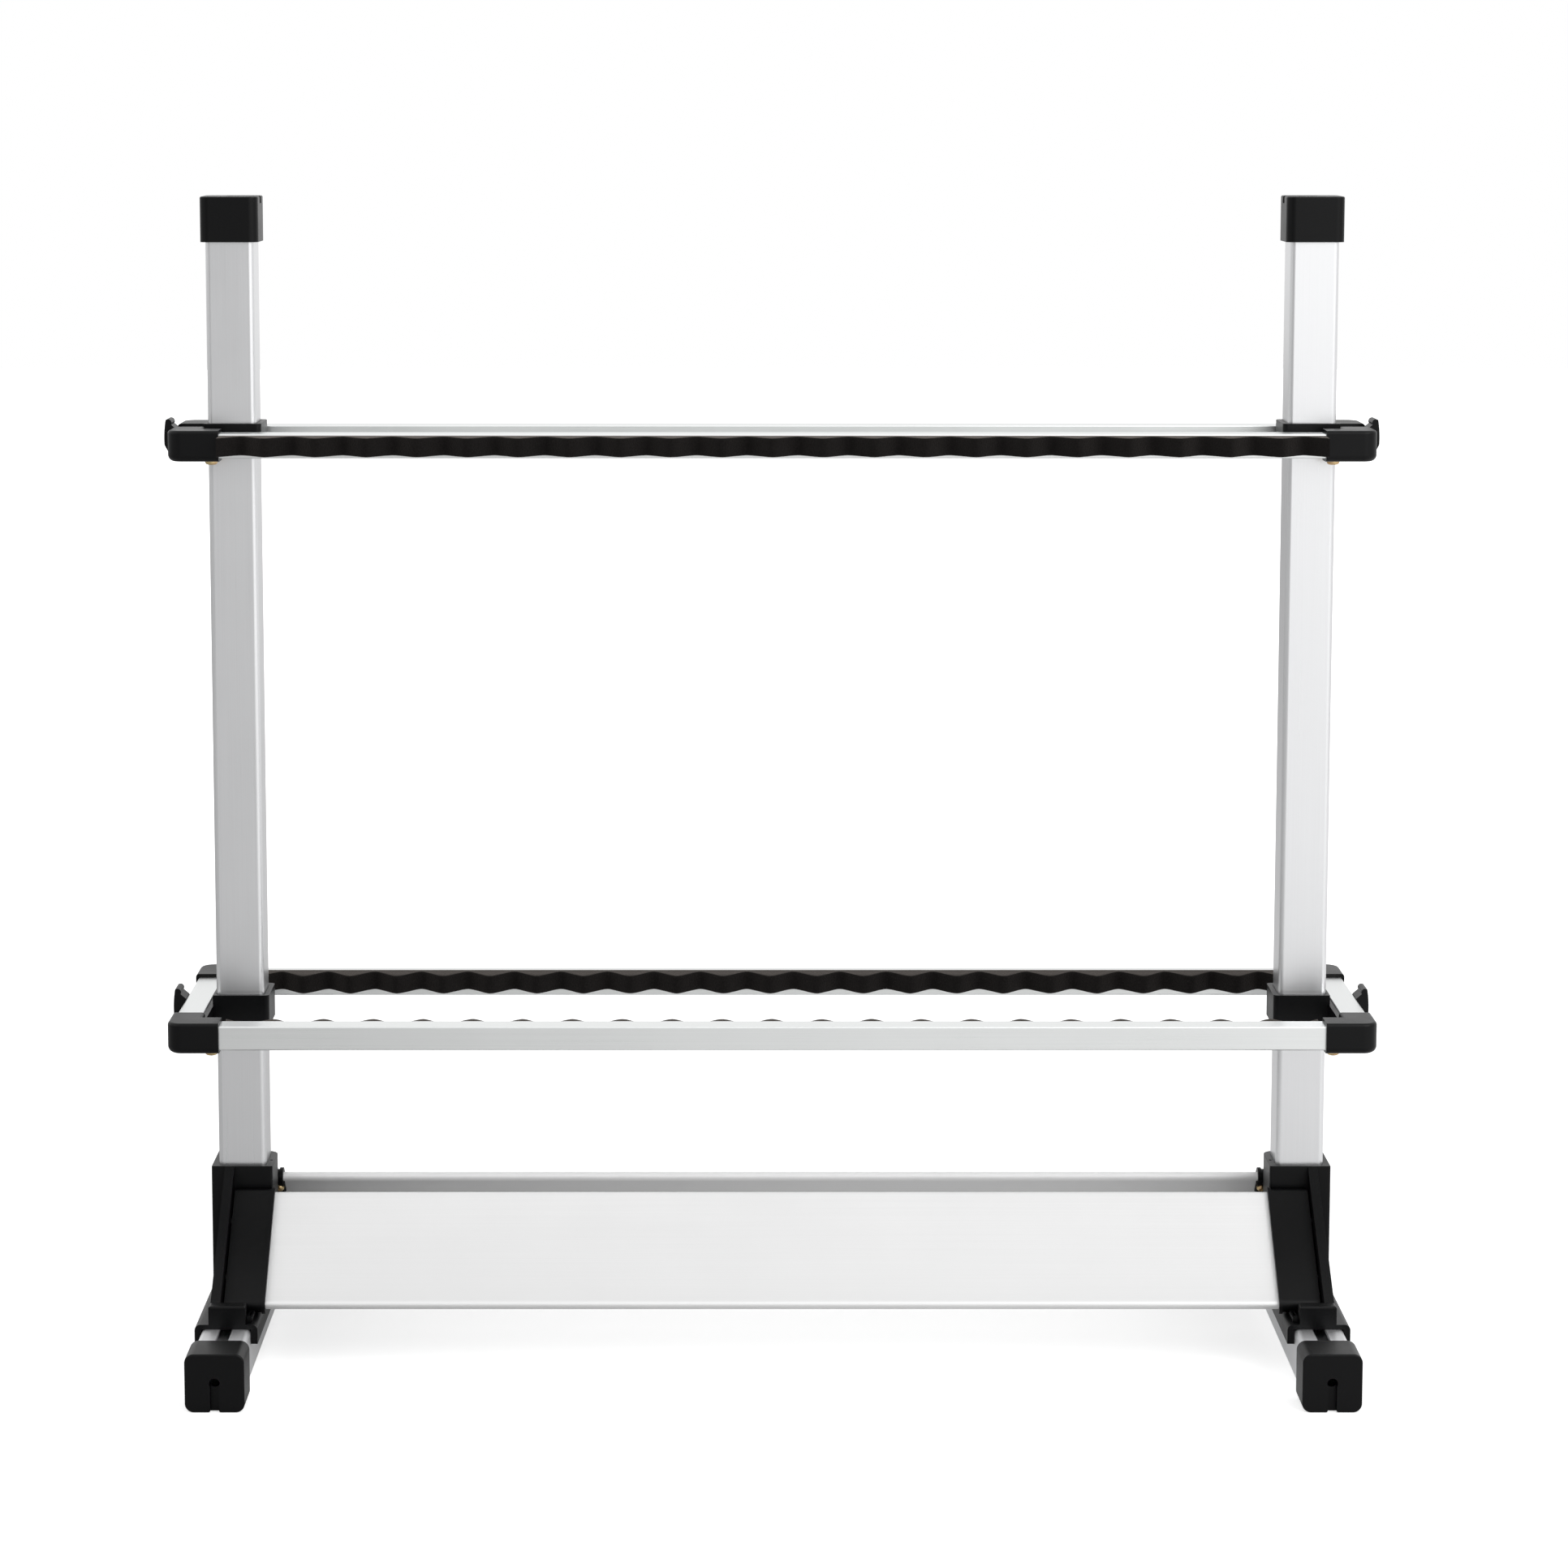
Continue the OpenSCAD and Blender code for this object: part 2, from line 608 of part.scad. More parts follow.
// Back right corner block: an elbow that sleeves the ends of two rails
module corner_block(i) {
    x = ring_w/2;
    y = ring_depth[i]/2;
    color(black) translate([0, 0, ring_z[i]]) difference() {
        union() {
            translate([x - block_leg, y - block_w/2, 0]) rotate([90, 0, 90])
                block_leg_shape(block_leg - block_corner_r);
            translate([x - block_w/2, y - block_corner_r, 0]) rotate([90, 0, 0])
                block_leg_shape(block_leg - block_corner_r);
            translate([x - block_corner_r, y - block_corner_r, 0]) {
                rotate_extrude() half_arch(block_corner_r, block_h/2, block_edge);
                mirror([0, 0, 1]) rotate_extrude() half_arch(block_corner_r, block_h/2, block_low_edge);
            }
        }
        translate([x - block_leg - 1, y - block_w/2, 0]) rotate([90, 0, 90])
            linear_extrude(block_leg - block_w + 1)
                rounded_rect(rail_w + 2*fit_gap, rail_h + 2*fit_gap, rail_r);
        translate([x - block_w/2, y - block_w, 0]) rotate([90, 0, 0])
            linear_extrude(block_leg - block_w + 1)
                rounded_rect(rail_w + 2*fit_gap, rail_h + 2*fit_gap, rail_r);
        translate([screw_x, y - block_w/2, -block_h])
            cylinder(r = tap_d/2 + screw_gap, h = block_h);
    }
}

module corner_screws(i) {
    y = ring_depth[i]/2 - block_w/2;
    low = ring_z[i] - block_h/2;
    color(zinc) for (sx = [-1, 1], sy = [-1, 1])
        translate([sx*screw_x, sy*y, low]) mirror([0, 0, 1])
            pan_screw(tap_d, (block_h - rail_h)/2 + rail_wall + tap_tail, tap_head_d, tap_head_h);
}

// Right collar: sleeve on the post, its outer side against the corner blocks, with a flange along
// the side rail between them
module collar(i) {
    hole = tube_w + 2*run_gap;
    half = hole/2 + collar_wall;
    out_x = rail_x - post_x;
    flange_len = ring_depth[i] - 2*block_leg - 2*fit_gap;
    mid = collar_h/2 - collar_rise;
    color(black) translate([post_x, 0, ring_z[i] - mid]) difference() {
        union() {
            translate([0, -half, 0]) cube([out_x - block_wall - fit_gap, 2*half, collar_h]);
            linear_extrude(collar_h) intersection() {
                rounded_rect(2*half, 2*half, collar_r);
                translate([-half, -half]) square([half + eps, 2*half]);
            }
            translate([out_x - flange_t, -flange_len/2, mid - flange_h/2])
                cube([flange_t, flange_len, flange_h]);
        }
        translate([0, 0, -1]) linear_extrude(collar_h + 2) rounded_rect(hole, hole, tube_r);
        translate([hole/2 - 1, 0, mid]) rotate([0, 90, 0])
            cylinder(r = bolt_d/2 + screw_gap, h = out_x);
    }
}

// Right hook: convex pad on the outer face of the side rail, its tip above the rail
module hook(i) {
    x0 = rail_x + rail_w;
    low = ring_z[i] - rail_h/2;
    high = ring_z[i] + rail_h/2;
    tip_x = hook_out - hook_tip_r - 0.2;
    color(black) difference() {
        translate([x0, hook_len/2, low]) rotate([90, 0, 0]) linear_extrude(hook_len)
            intersection() {
                union() {
                    translate([tip_x, rail_h + hook_rise - hook_tip_r]) circle(hook_tip_r);
                    polygon([
                        [0, 0], [hook_out - hook_foot_in, 0], [hook_out + 1, rail_h/2],
                        [hook_out + 1, rail_h + hook_rise - hook_tip_r],
                        [tip_x, rail_h + hook_rise - hook_tip_r],
                        [tip_x - hook_tip_r*0.85, rail_h + hook_rise - hook_tip_r*1.5], [0, rail_h]
                    ]);
                }
                translate([hook_out - hook_belly_r, rail_h*0.62]) circle(hook_belly_r, $fn = 360);
            }
        translate([x0 - 1, 0, ring_z[i]]) rotate([0, 90, 0])
            cylinder(r = bolt_d/2 + screw_gap, h = hook_out + 2);
        translate([x0 + hook_seat, 0, ring_z[i]]) rotate([0, 90, 0])
            cylinder(r = bolt_head_d/2 + 0.3, h = hook_out);
    }
}
hook_seat = 4;                                   // thickness of a hook under the screw's head

module clamp_screws(i) {
    head_x = rail_x + rail_w + hook_seat;
    color(zinc) for (s = [0, 1]) mirror([s, 0, 0]) translate([head_x, 0, ring_z[i]]) rotate([0, 90, 0])
        pan_screw(bolt_d, head_x - nut_x, bolt_head_d, bolt_head_h);
}

module slot_nuts(i) {
    color(steel) for (s = [0, 1]) mirror([s, 0, 0]) translate([nut_x, 0, ring_z[i]])
        rotate([90, 0, 90]) slot_nut();
}

// Height of a foam strip's wavy face above the bottom of its notches, as a share of the notch
// depth: a zigzag with a ridge at x = 0 whose ridges and notches are rounded alike
function wave(x, pitch) =
    let (turn = acos(wave_sharp))
    1 - (acos(wave_sharp*cos(360*x/pitch)) - turn)/(180 - 2*turn);

// Foam strip along X between the corner blocks, its back on y = 0 and its ridges towards +Y
wave_steps = 12;                                 // straight facets per notch
module foam_strip(pitch) {
    half = ring_w/2 - block_leg - foam_end_gap;
    step = pitch/wave_steps;
    n = floor(half/step - 0.2);
    end_y = foam_back + notch_depth*wave(half, pitch);
    color(foam_black) linear_extrude(foam_h) polygon(concat(
        [[half, end_y], [half, 0], [-half, 0], [-half, end_y]],
        [for (k = [-n:n]) [k*step, foam_back + notch_depth*wave(k*step, pitch)]]
    ));
}

// Strip on the inner face of the lower ring's front rail
module lower_front_foam() {
    translate([0, -rail_y[0], lower_z + rail_h/2 - lower_front_drop - foam_h])
        foam_strip(notch_pitch);
}

// Strip on the inner face of the lower ring's back rail
module lower_back_foam() {
    translate([0, rail_y[0], lower_z + rail_h/2 + lower_back_rise - foam_h])
        mirror([0, 1, 0]) foam_strip(lower_back_pitch);
}

// Strip on the outer face of the upper ring's back rail
module upper_foam(drop) {
    translate([0, rail_y[1] + rail_w, upper_z + rail_h/2 - drop - foam_h])
        foam_strip(notch_pitch);
}

mirror([1, 0, 0]) post();  // left_post
post();  // right_post
mirror([1, 0, 0]) post_cap();  // left_post_cap
post_cap();  // right_post_cap
mirror([1, 0, 0]) foot();  // left_foot
foot();  // right_foot
mirror([1, 0, 0]) mirror([0, 1, 0]) foot_cap();  // front_left_foot_cap
mirror([0, 1, 0]) foot_cap();  // front_right_foot_cap
mirror([1, 0, 0]) foot_cap();  // back_left_foot_cap
foot_cap();  // back_right_foot_cap
mirror([1, 0, 0]) base_bracket();  // left_base_bracket
base_bracket();  // right_base_bracket
mirror([0, 1, 0]) panel();  // front_panel
panel();  // back_panel
mirror([1, 0, 0]) mirror([0, 1, 0]) panel_cap();  // front_left_panel_cap
mirror([0, 1, 0]) panel_cap();  // front_right_panel_cap
mirror([1, 0, 0]) panel_cap();  // back_left_panel_cap
panel_cap();  // back_right_panel_cap
panel_screws();
foot_bolts();
foot_nuts();
post_screws();
post_slot_nuts();

mirror([0, 1, 0]) long_rail(0);  // lower_front_rail
long_rail(0);  // lower_back_rail
mirror([1, 0, 0]) side_rail(0);  // lower_left_rail
side_rail(0);  // lower_right_rail
mirror([1, 0, 0]) mirror([0, 1, 0]) corner_block(0);  // lower_front_left_corner
mirror([0, 1, 0]) corner_block(0);  // lower_front_right_corner
mirror([1, 0, 0]) corner_block(0);  // lower_back_left_corner
corner_block(0);  // lower_back_right_corner
lower_front_foam();
lower_back_foam();
mirror([1, 0, 0]) collar(0);  // lower_left_collar
collar(0);  // lower_right_collar
mirror([1, 0, 0]) hook(0);  // lower_left_hook
hook(0);  // lower_right_hook
corner_screws(0);  // lower_corner_screws
clamp_screws(0);  // lower_clamp_screws
slot_nuts(0);  // lower_slot_nuts

mirror([0, 1, 0]) long_rail(1);  // upper_front_rail
long_rail(1);  // upper_back_rail
mirror([1, 0, 0]) side_rail(1);  // upper_left_rail
side_rail(1);  // upper_right_rail
mirror([1, 0, 0]) mirror([0, 1, 0]) corner_block(1);  // upper_front_left_corner
mirror([0, 1, 0]) corner_block(1);  // upper_front_right_corner
mirror([1, 0, 0]) corner_block(1);  // upper_back_left_corner
corner_block(1);  // upper_back_right_corner
mirror([0, 1, 0]) upper_foam(upper_front_drop);  // upper_front_foam
upper_foam(upper_back_drop);  // upper_back_foam
mirror([1, 0, 0]) collar(1);  // upper_left_collar
collar(1);  // upper_right_collar
mirror([1, 0, 0]) hook(1);  // upper_left_hook
hook(1);  // upper_right_hook
corner_screws(1);  // upper_corner_screws
clamp_screws(1);  // upper_clamp_screws
slot_nuts(1);  // upper_slot_nuts
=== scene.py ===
"""Looks of a free-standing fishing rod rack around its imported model.

The solids keep their shapes and get finishes: drawn and anodised aluminium, moulded black plastic
and plated steel. The four notched foam strips and the recessed screws are new surfaces that stand
for their plain solids. All lengths are in metres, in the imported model's own frame.
"""

import json
import math

import bpy
import numpy as np
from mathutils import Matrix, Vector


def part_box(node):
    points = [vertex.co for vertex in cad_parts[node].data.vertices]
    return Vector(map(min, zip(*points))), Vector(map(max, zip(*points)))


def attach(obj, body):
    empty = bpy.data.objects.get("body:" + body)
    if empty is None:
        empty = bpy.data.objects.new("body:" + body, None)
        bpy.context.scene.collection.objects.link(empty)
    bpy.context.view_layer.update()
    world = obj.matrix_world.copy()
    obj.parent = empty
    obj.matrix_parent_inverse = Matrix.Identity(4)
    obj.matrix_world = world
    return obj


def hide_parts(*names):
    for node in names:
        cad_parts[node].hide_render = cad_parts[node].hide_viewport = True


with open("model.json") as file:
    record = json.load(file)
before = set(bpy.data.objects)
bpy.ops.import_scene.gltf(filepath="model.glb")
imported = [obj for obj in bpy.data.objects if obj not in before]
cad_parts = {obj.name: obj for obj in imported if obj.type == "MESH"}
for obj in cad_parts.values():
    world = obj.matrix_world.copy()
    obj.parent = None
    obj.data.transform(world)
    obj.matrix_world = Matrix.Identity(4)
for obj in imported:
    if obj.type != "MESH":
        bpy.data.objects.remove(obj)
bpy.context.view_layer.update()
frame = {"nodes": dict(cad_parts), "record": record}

bl_info = {
    "name": "Rod rack looks",
    "version": (1, 0, 0),
    "blender": (4, 5, 0),
    "location": "3D View > Sidebar > Rod rack",
    "description": "Finishes, notched foam strips, recessed screws and studio for the rod rack",
    "category": "Object",
}

NODES = frame["nodes"]
MM = 0.001
X, Y, Z = 0, 1, 2

# Surface of a foam strip
NOTCH_STEPS = 24               # points along one notch
LEAST_STEP = 0.2               # least share of a step between a strip's end and its next point
EDGE_STEPS = 5                 # points over a soft edge, and from one edge to the other
FLAT_SHARES = (0, 0.35, 0.7)   # where the upper and lower side have points, in shares of the width
FACE_WAVES = (90, 500)         # slowest waves of the cut face, in radians per metre along and up
SIDE_WAVES = (70, 300)         # slowest waves of the upper and lower side, along and outwards
WAVE_SPREAD = (0.6, 1.4)       # range of the random factor on each wave's frequency
FACE_BULGE = 1.4               # rise of the cut face at half its height, by the unevenness
PHASES = 6.28                  # range of the random phases
FOAM_SEED = 7
FOAM_SHARP = 38                # degrees above which an edge of the mesh stays sharp

# Surface of a screw. Shares are of the head's radius, unless they say otherwise
SCREW_SIDES = 64
HEAD_STEPS = 34
HEAD_MIDDLE = 0.02             # radius of the first ring of points
HEAD_RIM = 0.12                # height of the head's rim as a share of the head's height
RIM_TURN = 0.995               # radius where the rim meets the seat
TIP_LENGTH = 0.6               # length of the point as a share of the shank's radius
TIP_WIDTH = 0.3                # radius of the blunt end as a share of the shank's radius
BAR_WIDTH = 0.15               # half the width of a bar of the cross recess, with its walls
BAR_WALL = 0.06                # width that a sloping wall takes of it
BAR_REACH = 0.56               # half the length of a bar, with the slope at its end
BAR_END = 0.14                 # length that this slope takes of it
BAR_RISE = 0.55                # how far its floor has risen at its end, as a share of its depth
RECESS = 0.62                  # depth as a share of the head's height
WIDE = 0.9                     # share of a screw's largest radius from which a point is on the head
SEAT_GAP = 0.01*MM             # how far below its seat a screw's shank begins
CORNER_STEPS = 1e6             # steps in a metre to which a screw's corner points are rounded
SCREW_SHARP = 32               # degrees above which an edge of the mesh stays sharp

# Masks that the finishes share: the values of a texture between which a mask runs from 0 to 1
LINE_RANGE = (0.25, 0.75)
CLOUD_RANGE = (0.3, 0.7)
GRIT_RANGE = (0.3, 0.7)
CELL_RANGE = (0.0, 0.75)
FILM_RANGE = (0.35, 0.65)

# Aluminium
LINES_ACROSS = 1400.0          # scale of the fine lines across a profile
LINES_ALONG = 5.0              # and along it
CLOUD_SHARE = 0.35             # share of the slow clouds in its tone, beside the lines
METAL_TONES = (0.97, 1.03)     # darkest and lightest tone as shares of its colour
METAL_ROUGH = (-0.05, 0.07)    # how far its roughness departs where the tone is dark and light
BEAD_TOP = 43.2*MM             # height of the top of a panel's lower bead
PANEL_TOP = 94.8*MM            # height of a panel's upper edge
BEAD_SMOOTH = 0.8              # roughness of the lower bead as a share of the panel's
PANEL_PAINTED_SHADE = (0.945, 1.06)     # painted shade and light: colour factor of a panel at those two heights, darker at the bead, paler at the top

# Plastic, foam and plating
PLASTIC_GRIT = 2200.0          # scale of the sparked skin
PLASTIC_TONES = (0.8, 1.35)    # colour outside and inside the rubbed patches, as shares
PLASTIC_ROUGH = (0.38, 0.30)   # roughness outside and inside them
FOAM_CELLS = 900.0             # scale of the cut cells
FOAM_PATCHES = 0.4             # share of the slow patches in its tone, beside the cells
FOAM_TONES = (0.55, 1.5)       # darkest and lightest tone as shares of its colour
FOAM_ROUGH = (0.85, 1.0)
PLATING_GRIT = 700.0           # scale of the plating's unevenness
PLATING_FILM = 260.0           # scale of the film that turns between two tones
PLATING_ROUGH = 0.14           # how much rougher than its least the plating gets
STEEL_ROUGH = 0.28
STEEL_TONE = 0.85              # second tone of bright plating as a share of the first
ZINC_ROUGH = 0.26
ZINC_TONE = (1.0, 0.86, 0.9)   # second tone of the yellow film, by channel

# Room in reflections, by the parts of a unit direction: X to the right, Y backwards, Z up
FRONT_TURN = (-0.12, 0.12)     # X where the front wall turns from dim to bright
RIGHT_WALL = (0.35, 1.0)       # X where it turns to the right wall's level
LEFT_WALL = (-0.3, -0.9)       # X where it turns to the left wall's level
RIGHT_LEVEL = 0.8
LEFT_LEVEL = 0.3
FRONT_DEPTH = (-0.3, 0.15)     # Y where the front walls end
FRONT_HEIGHT = (0.15, 0.6)     # Z where the front walls end
CEILING = (0.45, 0.75)         # Z where the ceiling begins

# Floor
FLOOR_HALF = 9.0               # half the floor's width
FLOOR_TONES = (0.985, 1.01)    # darkest and lightest tone as shares of its colour
WHITE_FROM = (0.8, 2.2)        # distances from the rack's middle between which it turns fully white
NEAR_RIGHT = (-0.5, 0.1, 0, 0.23)   # from and to which X the glow in reflections grows, and its levels
FAR_RIGHT = (0.4, 0.65, 0, 0.2)
FAR_FRONT = (-0.9, -2.2, 0, 0.13)   # the same by Y

# Lamps, each with its place and size, and camera
LAMPS = {
    "key": ((1.9, -2.2, 2.3), (2.4, 2.4)),
    "fill": ((-2.5, -1.2, 1.5), (2.0, 2.0)),
    "top": ((0.0, 0.1, 2.7), (3.0, 2.4)),
}
AIM = (0.0, 0.0, 0.36)         # where the lamps point
CAMERA_PLACE = (-0.0259, -2.572, 0.790)
CAMERA_TILT = 7.04             # degrees below the horizon
CAMERA_SHIFT = (0.0343, -0.12)   # sideways and up, as shares of the sensor
SENSOR_WIDTH = 36.0


class RackColours(bpy.types.PropertyGroup):
    """Colours of the rack's finishes."""

    tube: bpy.props.FloatVectorProperty(
        name="Tube", description="Anodised aluminium of the posts and feet",
        subtype="COLOR", size=3, min=0, max=1, default=(0.808, 0.812, 0.822))
    rail: bpy.props.FloatVectorProperty(
        name="Rail", description="Anodised aluminium of the rings' rails",
        subtype="COLOR", size=3, min=0, max=1, default=(0.855, 0.87, 0.865))
    panel: bpy.props.FloatVectorProperty(
        name="Panel", description="Brushed aluminium of the butt panels",
        subtype="COLOR", size=3, min=0, max=1, default=(0.87, 0.87, 0.87))
    plastic: bpy.props.FloatVectorProperty(
        name="Plastic", description="Moulded black plastic",
        subtype="COLOR", size=3, min=0, max=1, default=(0.0014, 0.0015, 0.0018))
    foam: bpy.props.FloatVectorProperty(
        name="Foam", description="Closed-cell foam of the strips",
        subtype="COLOR", size=3, min=0, max=1, default=(0.0056, 0.0047, 0.0044))
    zinc: bpy.props.FloatVectorProperty(
        name="Yellow zinc", description="Yellow zinc plating of the screws",
        subtype="COLOR", size=3, min=0, max=1, default=(0.66, 0.52, 0.27))
    steel: bpy.props.FloatVectorProperty(
        name="Steel", description="Bright zinc plated steel of the nuts",
        subtype="COLOR", size=3, min=0, max=1, default=(0.56, 0.57, 0.58))


class RackFoam(bpy.types.PropertyGroup):
    """Sizes of the foam strips; their place and thickness come from the solids."""

    pitch: bpy.props.FloatProperty(
        name="Notch pitch", description="Distance between two notches",
        default=31.0*MM, min=0.02, max=0.05, subtype="DISTANCE", unit="LENGTH")
    back_pitch: bpy.props.FloatProperty(
        name="Lower back pitch", description="Distance between two notches of the lower back strip",
        default=30.2*MM, min=0.02, max=0.05, subtype="DISTANCE", unit="LENGTH")
    depth: bpy.props.FloatProperty(
        name="Notch depth", description="Depth of a notch below the ridges",
        default=13.5*MM, min=0.005, max=0.02, subtype="DISTANCE", unit="LENGTH")
    sharp: bpy.props.FloatProperty(
        name="Sharpness", description="Sharpness of the wave: 1 would be a zigzag, less is rounder",
        default=0.88, min=0.5, max=0.99, subtype="FACTOR")
    edge: bpy.props.FloatProperty(
        name="Edge radius", description="Radius of the strip's soft long edges",
        default=0.9*MM, min=0.0002, max=0.003, subtype="DISTANCE", unit="LENGTH")
    unevenness: bpy.props.FloatProperty(
        name="Unevenness", description="How far the cut faces wander from their true surface",
        default=0.16*MM, min=0.0, max=0.001, subtype="DISTANCE", unit="LENGTH")


class RackStudio(bpy.types.PropertyGroup):
    """Light, floor and camera."""

    floor: bpy.props.FloatVectorProperty(
        name="Floor", description="Colour of the floor",
        subtype="COLOR", size=3, min=0, max=1, default=(0.86, 0.86, 0.86))
    key: bpy.props.FloatProperty(
        name="Key light", description="Power of the soft lamp at the upper right front",
        default=42.0, min=0, max=200, unit="POWER")
    fill: bpy.props.FloatProperty(
        name="Fill light", description="Power of the wide lamp at the left front",
        default=7.0, min=0, max=200, unit="POWER")
    top: bpy.props.FloatProperty(
        name="Top light", description="Power of the wide lamp above the rack",
        default=2.0, min=0, max=200, unit="POWER")
    ambient: bpy.props.FloatProperty(
        name="Ambient", description="Level of the light from all round", default=0.62, min=0, max=2)
    room_left: bpy.props.FloatProperty(
        name="Room left", description="Brightness of the room that front faces mirror on the left",
        default=0.38, min=0, max=2)
    room_right: bpy.props.FloatProperty(
        name="Room right", description="Brightness of the room that front faces mirror on the right",
        default=1.5, min=0, max=2)
    room_top: bpy.props.FloatProperty(
        name="Room top", description="Brightness of the ceiling in reflections",
        default=1.0, min=0, max=2)
    room_back: bpy.props.FloatProperty(
        name="Room back", description="Brightness of the room behind the rack in reflections",
        default=0.95, min=0, max=2)
    mirrored_floor: bpy.props.FloatProperty(
        name="Mirrored floor", description="Share of the floor's colour that reflections see",
        default=0.66, min=0, max=1, subtype="FACTOR")
    whiten: bpy.props.FloatProperty(
        name="Whiten", description="Light that the floor gives off towards the camera",
        default=0.62, min=0, max=1)
    lens: bpy.props.FloatProperty(
        name="Lens", description="Focal length on a 36 mm sensor", default=94.92, min=20, max=300,
        subtype="DISTANCE_CAMERA", unit="CAMERA")


class RackSettings(bpy.types.PropertyGroup):
    """All settings of the rack."""

    colours: bpy.props.PointerProperty(type=RackColours, name="Colours", description="Finishes")
    foam: bpy.props.PointerProperty(type=RackFoam, name="Foam", description="Foam strips")
    studio: bpy.props.PointerProperty(type=RackStudio, name="Studio", description="Light and camera")


# Surfaces

def closed_mesh(name, grids, sharp_degrees):
    """One mesh from k grids of points, each of rows by columns: columns run round a closed loop, and
    the first and last row are closed with a fan to their own mean point. Edges sharper than the
    given angle stay sharp, and the faces are turned outwards by the sign of the enclosed volume."""
    bodies, rows, cols, _ = grids.shape
    ends = np.stack([grids[:, 0].mean(1), grids[:, -1].mean(1)], 1)
    points = np.concatenate([grids.reshape(bodies, rows*cols, 3), ends], 1)
    row, col = np.meshgrid(np.arange(rows - 1), np.arange(cols), indexing="ij")
    after = (col + 1) % cols
    quads = np.stack(
        [row*cols + col, row*cols + after, (row + 1)*cols + after, (row + 1)*cols + col], -1
    ).reshape(-1, 4)
    col = np.arange(cols)
    after = (col + 1) % cols
    first = np.stack([np.full(cols, rows*cols), after, col], -1)
    last = (rows - 1)*cols
    second = np.stack([np.full(cols, rows*cols + 1), last + col, last + after], -1)
    fans = np.concatenate([first, second])
    a, b, c = np.concatenate([quads[:, :3], quads[:, [0, 2, 3]], fans]).T
    p = points[0]
    if np.einsum("ij,ij->i", p[a], np.cross(p[b], p[c])).sum() < 0:
        quads, fans = quads[:, ::-1], fans[:, ::-1]
    step = points.shape[1]
    faces = []
    for body in range(bodies):
        faces += (quads + body*step).tolist() + (fans + body*step).tolist()
    mesh = bpy.data.meshes.new(name)
    mesh.from_pydata(points.reshape(-1, 3).tolist(), [], faces)
    mesh.shade_smooth()
    mesh.set_sharp_from_angle(angle=math.radians(sharp_degrees))
    mesh.update()
    piece = bpy.data.objects.new(name, mesh)
    bpy.context.scene.collection.objects.link(piece)
    return piece


def wavy_face(x, pitch, sharp):
    """Height of a strip's face as a share of the notch depth, 1 on a ridge at x = 0 and 0 in a notch:
    1 - (acos(s*cos(2*pi*x/pitch)) - acos(s))/(pi - 2*acos(s)), a zigzag with rounded corners."""
    turn = math.acos(sharp)
    return 1 - (np.arccos(sharp*np.cos(2*math.pi*x/pitch)) - turn)/(math.pi - 2*turn)


def wander(rng, u, v, waves=7):
    """Smooth noise between about -1 and 1: half the sum over k of sin(a*u)*cos(b*v)/k, with random
    phases and with a and b near k."""
    total = np.zeros(np.broadcast(u, v).shape)
    for k in range(waves):
        a, b = rng.uniform(*WAVE_SPREAD, 2)*(k + 1)
        total += np.sin(a*u + rng.uniform(0, PHASES))*np.cos(b*v + rng.uniform(0, PHASES))/(k + 1)
    return total/2


def foam_points(low, high, towards, pitch, sizes, rng):
    """A strip between two corners of its box. Along x the face stands at the floor of the notches plus
    depth*wavy_face(x). Round the section the surface runs along the underside, over a quarter circle,
    up the face, over the upper quarter circle, along the top and down the glued back, and each point
    lies at a share of the thickness or height plus a share of the edge radius."""
    step = pitch/NOTCH_STEPS
    first = math.ceil(low[X]/step + LEAST_STEP)
    last = math.floor(high[X]/step - LEAST_STEP)
    x = np.concatenate([[low[X]], np.arange(first, last + 1)*step, [high[X]]])
    thick = high[Y] - low[Y]
    face = thick - sizes.depth + sizes.depth*wavy_face(x, pitch, sizes.sharp)
    arc = np.linspace(0, math.pi/2, EDGE_STEPS)
    up = np.linspace(0, 1, EDGE_STEPS)[1:-1]
    flat = np.array(FLAT_SHARES)
    one, none = np.ones_like, np.zeros_like
    # Shares of thickness, edge radius outwards, height and edge radius upwards, round the section
    out_t = np.concatenate([flat, one(arc), one(up), one(arc), flat[::-1], none(up)])
    out_e = np.concatenate([none(flat), np.sin(arc) - 1, none(up), np.cos(arc) - 1, none(flat), none(up)])
    up_h = np.concatenate([none(flat), none(arc), up, one(arc), one(flat), 1 - up])
    up_e = np.concatenate([none(flat), 1 - np.cos(arc), none(up), np.sin(arc) - 1, none(flat), none(up)])
    height = high[Z] - low[Z]
    y = out_t*face[:, None] + out_e*sizes.edge
    z = np.broadcast_to(up_h*height + up_e*sizes.edge, y.shape)
    along = np.broadcast_to(x[:, None], y.shape)
    free = y/thick
    bulge = 4*(z/height)*(1 - z/height)
    rough_face = wander(rng, along*FACE_WAVES[0], z*FACE_WAVES[1]) + FACE_BULGE*bulge - 1
    y = y + free*sizes.unevenness*rough_face
    rough_side = wander(rng, along*SIDE_WAVES[0], y*SIDE_WAVES[1])*np.where(up_h > 0.5, 1, -1)
    z = np.clip(z + free*sizes.unevenness*rough_side, 0, height)
    y = low[Y] + y if towards > 0 else high[Y] - y
    return np.stack([along, y, low[Z] + z], -1)


